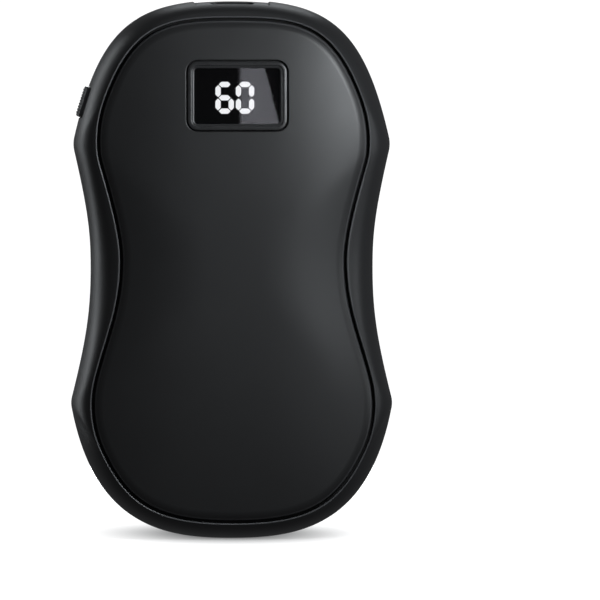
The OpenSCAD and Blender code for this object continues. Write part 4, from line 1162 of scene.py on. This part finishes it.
@dataclass
class Display:
    """Bezel, dark window and the bars of two digits behind it."""

    size: tuple[float, float, float] = (18.9, 13.1, 2.0)
    least_radius: float = 0.12
    profile: tuple[tuple[float, float], ...] = (
        (-0.8, 2.45), (-0.8, 1.75), (0.0, 1.75), (0.0, 0.3), (0.04, 0.2),
        *fillet((0.08, 0.14), (0.2, 0.14), (0.2, 0.05), 4), (0.34, 0.02), (0.5, 0.0), (0.6, 0.0),
        *fillet((0.66, 0.0), (0.66, 0.12), (0.78, 0.12), 4), (0.8, 0.26), (0.86, 0.31), (0.98, 0.31),
        *fillet((1.02, 0.28), (1.14, 0.28), (1.14, 0.4), 4), (1.25, 0.43), (1.25, 0.45), (0.75, 0.45),
        (0.75, 2.45))
    handled_insets: tuple[float, float] = (0.1, 0.8)
    handled_deep: float = 0.3
    handled_worn: float = 0.6
    sharp_angle: float = 40.0
    window: tuple[float, float, float] = (17.2, 11.4, 1.1)
    window_chamfer: float = 0.1
    window_from: float = 0.45
    window_thick: float = 1.2
    digit_size: tuple[float, float] = (3.5, 6.05)
    digit_gap: float = 0.36
    digit_shift: tuple[float, float] = (-0.4, -0.41)
    bar: float = 1.0
    bar_cut: float = 0.13
    bar_proud: float = 0.08
    bar_levels: tuple[tuple[float, float], ...] = (
        (0.0, 0.0), (1.0, 0.0), (1.0, 0.6), (0.96, 1.0), (0.0, 1.0))
    bar_splits: int = 4
    digits: tuple[tuple[Bar, ...], ...] = (
        (Bar.TOP, Bar.LOWER_RIGHT, Bar.BOTTOM, Bar.LOWER_LEFT, Bar.UPPER_LEFT, Bar.MIDDLE),
        (Bar.TOP, Bar.UPPER_RIGHT, Bar.LOWER_RIGHT, Bar.BOTTOM, Bar.LOWER_LEFT, Bar.UPPER_LEFT))

    def ring(self, size: tuple[float, float, float], inset: float, inwards: float) -> np.ndarray:
        """A rounded ring of a size, drawn in by an inset, at a distance inwards."""
        width, height, radius = size
        flat = rounded_ring(width - 2 * inset, height - 2 * inset, max(radius - inset, self.least_radius))
        return BEZEL.placed(flat, inwards)

    def build_bezel(self, dresser: Dresser) -> None:
        """Builds the bezel: a flange under the cover, a rounded edge, a low crest and a thin second step."""
        low, high = self.handled_insets
        rings = [self.ring(self.size, inset, inwards) for inset, inwards in self.profile]
        worn = [self.handled_worn if low < inset < high and inwards < self.handled_deep else 0.0
                for inset, inwards in self.profile]
        piece = loft("display_bezel_ring", [*rings, rings[0]], [*worn, 0.0], self.sharp_angle)
        dresser.dress(piece, "bezel_black", "case", "display_bezel")

    def build_window(self, dresser: Dresser) -> None:
        """Builds the window, a plate with a fine chamfer."""
        near, far, cut = self.window_from, self.window_from + self.window_thick, self.window_chamfer
        profile = [(cut, near), (0.0, near + cut), (0.0, far - cut), (cut, far)]
        rings = [self.ring(self.window, inset, inwards) for inset, inwards in profile]
        ends = [BEZEL.placed(np.zeros((len(rings[0]), 2)), inwards) for inwards in (near, far)]
        piece = loft("display_lens", [ends[0], *rings, ends[1]])
        dresser.dress(piece, "window_dark", "case", "display_window")

    def bar_piece(self, length: float, upright: bool) -> bpy.types.Object:
        """One bar with pointed ends, about the frame's origin, standing up or lying across.

        Args:
            length: Length between its points.
            upright: Whether it stands up.

        Returns:
            The bar.
        """
        half, r = length / 2, self.bar / 2
        flat = np.array([[half, 0], [half - r, r], [-half + r, r],
                         [-half, 0], [-half + r, -r], [half - r, -r]])
        parts = np.arange(self.bar_splits)[:, None]
        flat = np.concatenate([start + (end - start) * parts / self.bar_splits
                               for start, end in zip(flat, np.roll(flat, -1, axis=0))])
        flat = flat[:, ::-1] if upright else flat
        return loft("bar", [at_depth(flat * share, self.bar_proud * rise, Face.FRONT)
                            for share, rise in self.bar_levels])

    def build_digits(self, dresser: Dresser) -> None:
        """Builds every bar at its place, and joins the lit ones and the dark ones."""
        wide, high = self.digit_size
        patterns = {False: self.bar_piece(wide - self.bar - 2 * self.bar_cut, False),
                    True: self.bar_piece((high - self.bar) / 2 - 2 * self.bar_cut, True)}
        base = -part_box("display_module")[0][1] / MM
        shelf: dict[bool, list[bpy.types.Object]] = {True: [], False: []}
        for place, lit in enumerate(self.digits):
            x = BEZEL.across + self.digit_shift[0] + (place - 0.5) * (wide + self.digit_gap)
            for bar in Bar:
                across, up, upright = bar.value
                step = (x + across * (wide - self.bar) / 2, -base,
                        BEZEL.up + self.digit_shift[1] + up * (high - self.bar) / 4)
                shelf[bar in lit].append(copied(patterns[upright], f"bar_{place}_{bar.name.lower()}", step))
        for pattern in patterns.values():
            bpy.data.objects.remove(pattern)
        dresser.dress(join("lit_digit_bars", shelf[True]), "digits_lit", "case", "lit_segments")
        dresser.dress(join("dark_digit_bars", shelf[False]), "digits_dark", "case", "unlit_segments")

    def build(self, dresser: Dresser) -> None:
        """Builds the whole display."""
        self.build_bezel(dresser)
        self.build_window(dresser)
        self.build_digits(dresser)


@dataclass
class SideButton:
    """Push button in the left side: a cap with a curved, ribbed face, a flange behind the wall and a stem."""

    size: tuple[float, float, float] = (5.9, 8.0, 0.6)
    proud: float = 0.75
    face_radius: float = 20.0
    rib_pitch: float = 0.56
    rib_width: float = 0.42
    rib_height: float = 0.17
    rib_count: int = 9
    rib_sink: float = 0.75
    rib_ends: tuple[tuple[float, float], ...] = ((0.0, 0.0), (0.0, 0.45), (0.08, 0.85), (0.22, 1.0))
    rib_margin: float = 0.05
    rib_steps: int = 12
    rib_sides: int = 16
    face_shares: tuple[float, ...] = (0.25, 0.5, 0.75)
    edge_round: float = 0.3
    flange_at: float = 3.25
    flange: float = 0.8
    flange_thick: float = 0.8
    stem: float = 2.4
    stem_round: float = 2.001
    stem_end: float = 4.9
    place: ButtonPlace = field(default_factory=ButtonPlace)

    def face_at(self, y: np.ndarray) -> np.ndarray:
        """Local x of the curved face at a distance from the middle plane."""
        return self.face_radius - np.sqrt(self.face_radius**2 - np.asarray(y) ** 2) - self.proud

    def cap(self) -> bpy.types.Object:
        """The cap with its flange and stem, one body turned from the face inwards."""
        up, deep, radius = self.size
        low = self.rib_height * self.rib_sink
        small = self.edge_round
        rings = []
        for share in self.face_shares:
            flat = rounded_ring(up * share, deep * share, radius * share)
            rings.append(side_ring(flat, self.face_at(flat[:, 1]) + low))
        for inset, drop in fillet((small, 0.0), (small, small), (0.0, small), 5):
            flat = rounded_ring(up - 2 * inset, deep - 2 * inset, radius - inset)
            rings.append(side_ring(flat, self.face_at(flat[:, 1]) + low + drop))
        grow = 2 * self.flange
        behind = self.flange_at + self.flange_thick
        flange = rounded_ring(up + grow, deep + grow, radius)
        stem = rounded_ring(self.stem, self.stem, self.stem / self.stem_round)
        rings += [side_ring(flat, x) for flat, x in (
            (rounded_ring(up, deep, radius), self.flange_at), (flange, self.flange_at), (flange, behind),
            (stem, behind), (stem, self.stem_end))]
        ends = [pole([x, 0.0, 0.0], rings[0]) for x in (self.face_at(0.0) + low, self.stem_end)]
        return loft("cap", [self.place.placed(ring) for ring in (ends[0], *rings, ends[1])])

    def rib(self) -> bpy.types.Object:
        """One rounded rib across the face, about the cap's middle."""
        half = self.size[1] / 2 - self.size[2] - self.rib_margin
        straight = half - self.rib_ends[-1][0]
        stations = [*((inset - half, share) for inset, share in self.rib_ends),
                    *((y, 1.0) for y in np.linspace(-straight, straight, self.rib_steps)[1:-1]),
                    *((half - inset, share) for inset, share in reversed(self.rib_ends))]
        turn = np.linspace(0, 2 * math.pi, self.rib_sides, endpoint=False)
        rings = []
        for y, share in stations:
            x = float(self.face_at(y)) + self.rib_height - self.rib_height * share * np.cos(turn)
            z = self.rib_width / 2 * share * np.sin(turn)
            rings.append(np.column_stack([x, np.full(len(turn), y), z]))
        return loft("rib", [self.place.placed(ring) for ring in rings])

    def build(self, dresser: Dresser) -> None:
        """Builds the button with its ribs and lets it ride on its own body."""
        _, lean = self.place.frame()
        first = self.rib()
        steps = (np.arange(self.rib_count) - (self.rib_count - 1) / 2) * self.rib_pitch
        ribs = [copied(first, f"rib_{count}", (step * math.sin(lean), 0.0, step * math.cos(lean)))
                for count, step in enumerate(steps)]
        bpy.data.objects.remove(first)
        dresser.dress(join("ribbed_push_button", [self.cap(), *ribs]), "button_grey", "button", "side_button")


@dataclass
class SnapSpring:
    """Thin bowed leaf behind the switch's plunger."""

    depth: float = 0.8
    length: float = 2.2
    crown_at: float = 7.275
    rise: float = 0.42
    thick: float = 0.1
    pressed: float = 0.08
    steps: int = 20
    place: ButtonPlace = field(default_factory=ButtonPlace)

    def section(self, share: float) -> np.ndarray:
        """Corners across the leaf.

        Args:
            share: Where along the leaf, from -1 at one foot to 1 at the other.

        Returns:
            Four rows of local x, y and z.
        """
        half = self.length / 2
        radius = (half**2 + self.rise**2) / (2 * self.rise)
        rows = []
        for bow, side in ((radius, -1), (radius, 1), (radius - self.thick, 1), (radius - self.thick, -1)):
            turn = share * math.acos((radius - self.rise) / bow)
            x = self.crown_at + radius - bow * math.cos(turn)
            rows.append((x, side * self.depth / 2, bow * math.sin(turn)))
        return np.array(rows)

    def build(self, dresser: Dresser) -> None:
        """Builds the leaf on the case and gives it its own mesh."""
        sections = [self.section(share) for share in np.linspace(-1, 1, self.steps + 1)]
        ends = [pole(section.mean(axis=0), section) for section in (sections[0], sections[-1])]
        piece = loft("bowed_snap_spring", [self.place.placed(ring) for ring in (ends[0], *sections, ends[1])])
        dresser.dress(piece, "spring_steel", "case", "switch_dome")
        feet = self.crown_at + self.rise
        anchor, further = self.place.placed(np.array([[feet, 0.0, 0.0], [feet + 1.0, 0.0, 0.0]])) * MM
        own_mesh(piece)


@dataclass
class PortPanel:
    """Panel in the top end that follows the end's curve, with openings for a wide and a small socket."""

    form: Form = FORM
    wide_socket: tuple[float, float, float, float] = (12.5, 5.1, 0.3, 2.15)
    small_socket: tuple[float, float, float, float] = (8.36, 2.58, 1.28, -3.48)
    edge: float = 0.12
    top_shares: tuple[float, ...] = (0.9, 0.75, 0.6, 0.45, 0.3, 0.15, 0.0)
    cut_levels: tuple[float, float] = (-1.0, 3.0)

    @property
    def floor(self) -> float:
        """Height of the panel's underside."""
        return self.form.case.top - self.form.panel_sink - self.form.panel_thick

    def top(self, flat: np.ndarray, drop: float) -> np.ndarray:
        """Places rows of x and y on the panel's top, lowered by a drop."""
        height = self.form.end_height(flat[:, 0], flat[:, 1]) - self.form.panel_sink - drop
        return np.column_stack([flat, height])

    def opening(self, socket: tuple[float, float, float, float]) -> bpy.types.Object:
        """Cutter for one socket's opening."""
        width, high, radius, y = socket
        flat = rounded_ring(width, high, radius) + np.array([0.0, y])
        levels = [self.floor + step for step in self.cut_levels]
        rings = [level_ring(flat, z) for z in levels]
        ends = [pole([0.0, y, z], flat) for z in levels]
        return loft("opening_cutter", [ends[0], *rings, ends[1]])

    def build(self, dresser: Dresser) -> None:
        """Builds the panel with both openings."""
        wide, deep = self.form.panel_size
        radius = self.form.panel_round
        outer = rounded_ring(wide, deep, radius)
        rings = [pole([0.0, 0.0, self.floor], outer), level_ring(outer, self.floor)]
        for inset, drop in fillet((0.0, self.edge), (self.edge, self.edge), (self.edge, 0.0), 3):
            rings.append(self.top(rounded_ring(wide - 2 * inset, deep - 2 * inset, radius - inset), drop))
        rings += [self.top(outer * share, 0.0) for share in self.top_shares]
        piece = loft("top_port_panel", rings)
        for socket in (self.wide_socket, self.small_socket):
            carve(piece, self.opening(socket))
        tidy_mesh(piece)
        dresser.dress(piece, "panel_black", "case", "port_panel")


# Studio


@dataclass(frozen=True)
class SoftBox:
    """A rectangular light: where it stands, its size and what it points at in mm, and its power in watts."""

    name: str
    place: tuple[float, float, float]
    size: tuple[float, float]
    power: float
    aim: tuple[float, float, float] = (0.0, 0.0, 60.0)


SOFT_BOXES: tuple[SoftBox, ...] = (
    SoftBox("near_right_box", (70, -100, 110), (50, 50), 0.117),
    SoftBox("front_right_box", (300, -800, 50), (300, 300), 0.56),
    SoftBox("side_right_box", (760, -520, 80), (160, 340), 0.16),
    SoftBox("right_wall", (830, -190, 120), (340, 340), 0.64),
    SoftBox("top_box", (0, -100, 700), (400, 400), 0.17),
    SoftBox("left_high_strip", (-520, 520, 330), (200, 300), 0.42),
    SoftBox("left_back_strip", (-590, 460, 60), (200, 360), 0.52),
    SoftBox("back_top_box", (60, 760, 480), (300, 120), 0.3),
    SoftBox("rear_box", (0, 320, 65), (50, 90), 0.6, aim=(0.0, 0.0, 50.0)),
)


@dataclass
class Studio:
    """Pale floor, white surround, soft lights and the camera."""

    camera_at: tuple[float, float, float] = (-133.5, -3994.9, 184.8)
    camera_aim: tuple[float, float, float] = (13.0, 0.0, 45.2)
    lens: float = 1263.0
    floor_half: float = 1500.0
    lamp_tint: Colour = (0.92, 0.965, 1.0)
    sensor: float = 36.0
    clip: tuple[float, float] = (0.01, 20.0)
    floor_greys: tuple[float, float] = (0.3, 0.32)
    # Glow of the floor at the middle of its painted shadow and further out.
    floor_glows: tuple[float, float] = (0.06, 1.05)
    floor_grain: float = 30.0
    floor_roughness: float = 0.85
    floor_gloss: float = 0.05
    # Painted shadow on the floor: its middle behind the foot, how much it is squeezed front to back, and
    # where it fades out.
    shadow_middle: float = 20.0
    shadow_squeeze: float = 0.5
    shadow_ends: tuple[float, float] = (4.0, 31.0)
    dim_grey: Colour = (0.083, 0.084, 0.087)
    backdrop: Colour = (1.1, 1.1, 1.1)
    card_pixels: tuple[tuple[float, float], ...] = (
        (237.8, 66.0), (264.5, 66.0), (280.5, 128.0), (240.2, 128.0))
    middle_pixel: float = 233.8
    foot_pixel: float = 536.4
    pixels_a_mm: tuple[float, float] = (5.28, 5.242)
    card_rise: float = 0.4
    card_away: float = 620.0
    card_fade: float = 1.3
    card_tint: Colour = (0.9, 0.9, 1.0)
    card_glow: float = 6.2

    def aimed(self, thing: bpy.types.Object, place: Sequence[float], aim: Sequence[float]) -> None:
        """Puts a camera or light at a place in mm and points it at another."""
        start, end = Vector(place) * MM, Vector(aim) * MM
        thing.location = start
        thing.rotation_euler = (end - start).to_track_quat("-Z", "Y").to_euler()

    def add_lamp(self, box: SoftBox) -> None:
        """Adds one rectangular light."""
        bpy.ops.object.light_add(type="AREA")
        lamp = bpy.context.object
        lamp.name = box.name
        lamp.data.shape = "RECTANGLE"
        lamp.data.size, lamp.data.size_y = (part * MM for part in box.size)
        lamp.data.energy = box.power
        lamp.data.color = self.lamp_tint
        lamp.visible_camera = False
        self.aimed(lamp, box.place, box.aim)

    def add_floor(self) -> None:
        """Adds the pale floor. Its glow is dimmed near the object as a painted shadow, and it stays evenly
        bright further out.
        """
        deselect()
        bpy.ops.mesh.primitive_plane_add(size=2 * self.floor_half * MM)
        floor = bpy.context.object
        floor.name = "floor"
        wiring = Wiring("pale_floor")
        across, behind = wiring.axis("X"), wiring.axis("Y")
        # Painted shadow: the floor's glow dims towards a spot just behind the object's foot.
        nearer = (behind - self.shadow_middle * MM) * self.shadow_squeeze
        span = (across * across + nearer * nearer) ** 0.5
        away = span.between(*(end * MM for end in self.shadow_ends))
        paper = wiring.noise(self.floor_grain, 2.0)
        floor.data.materials.append(wiring.surface({
            "Base Color": wiring.blend(paper, *((grey,) * 3 for grey in self.floor_greys)),
            "Roughness": paper * self.floor_gloss + self.floor_roughness,
            "Emission Color": wiring.blend(away, *((glow,) * 3 for glow in self.floor_glows)),
            "Emission Strength": 1.0,
            "Specular IOR Level": 0.0,
        }))
        floor.visible_diffuse = floor.visible_glossy = False

    def add_surround(self) -> None:
        """Gives the world white for the eye and a dim grey for light."""
        world = bpy.context.scene.world or bpy.data.worlds.new("surround")
        bpy.context.scene.world = world
        world.use_nodes = True
        tree = world.node_tree
        tree.nodes.clear()
        path = tree.nodes.new("ShaderNodeLightPath")
        mix = tree.nodes.new("ShaderNodeMix")
        mix.data_type = "RGBA"
        mix.inputs[6].default_value = (*self.dim_grey, 1.0)
        mix.inputs[7].default_value = (*self.backdrop, 1.0)
        glow = tree.nodes.new("ShaderNodeBackground")
        output = tree.nodes.new("ShaderNodeOutputWorld")
        tree.links.new(path.outputs["Is Camera Ray"], mix.inputs[0])
        tree.links.new(mix.outputs[2], glow.inputs["Color"])
        tree.links.new(glow.outputs[0], output.inputs["Surface"])

    def add_window_card(self) -> None:
        """Adds the card whose mirror image is the slanted band in the window."""
        wide_scale, high_scale = self.pixels_a_mm
        eye = np.array(self.camera_at)
        normal = np.array([0.0, -math.cos(BEZEL.tilt), math.sin(BEZEL.tilt)])
        points = []
        for x, y in self.card_pixels:
            spot = np.array([(x - self.middle_pixel) / wide_scale, -BEZEL.face,
                             (self.foot_pixel - y) / high_scale + self.card_rise])
            ray = (spot - eye) / np.linalg.norm(spot - eye)
            back = ray - 2 * np.dot(ray, normal) * normal
            points.append(spot + back * self.card_away)
        deselect()
        bpy.ops.mesh.primitive_plane_add(size=MM)
        card = bpy.context.object
        card.name = "window_card"
        for vertex, corner in zip(card.data.vertices, [points[k] for k in (3, 2, 0, 1)]):
            vertex.co = Vector(corner) * MM
        wiring = Wiring("card_glow")
        left = points[0][0] * MM
        lit = wiring.axis("X").between(left, left + self.card_fade * MM)
        card.data.materials.append(wiring.surface({
            "Base Color": BLACK,
            "Roughness": wiring.noise(50.0) * 0.1 + 0.9,
            "Emission Color": wiring.blend(lit, BLACK, self.card_tint),
            "Emission Strength": self.card_glow,
        }))
        card.visible_camera = card.visible_diffuse = card.visible_shadow = False

    def build(self) -> None:
        """Sets up the whole studio."""
        bpy.context.scene.view_settings.view_transform = "Standard"
        self.add_floor()
        self.add_surround()
        for box in SOFT_BOXES:
            self.add_lamp(box)
        self.add_window_card()
        bpy.ops.object.camera_add()
        camera = bpy.context.object
        camera.data.lens = self.lens
        camera.data.sensor_width = self.sensor
        camera.data.clip_start, camera.data.clip_end = self.clip
        self.aimed(camera, self.camera_at, self.camera_aim)
        bpy.context.scene.camera = camera


def main() -> None:
    """Builds each sub-assembly in order, dresses the rest and sets up the studio."""
    logging.basicConfig(level=logging.INFO, format="%(message)s")
    dresser = Dresser(FINISHES)
    for part in (CaseHalf(Face.FRONT), CaseHalf(Face.REAR), Cover(Face.FRONT), Cover(Face.REAR), Display(),
                 SideButton(), SnapSpring(), PortPanel()):
        part.build(dresser)
        log.info("%s done", type(part).__name__)
    dresser.carry_over(frame["nodes"])
    Studio().build()


if __name__ == "__main__":
    main()
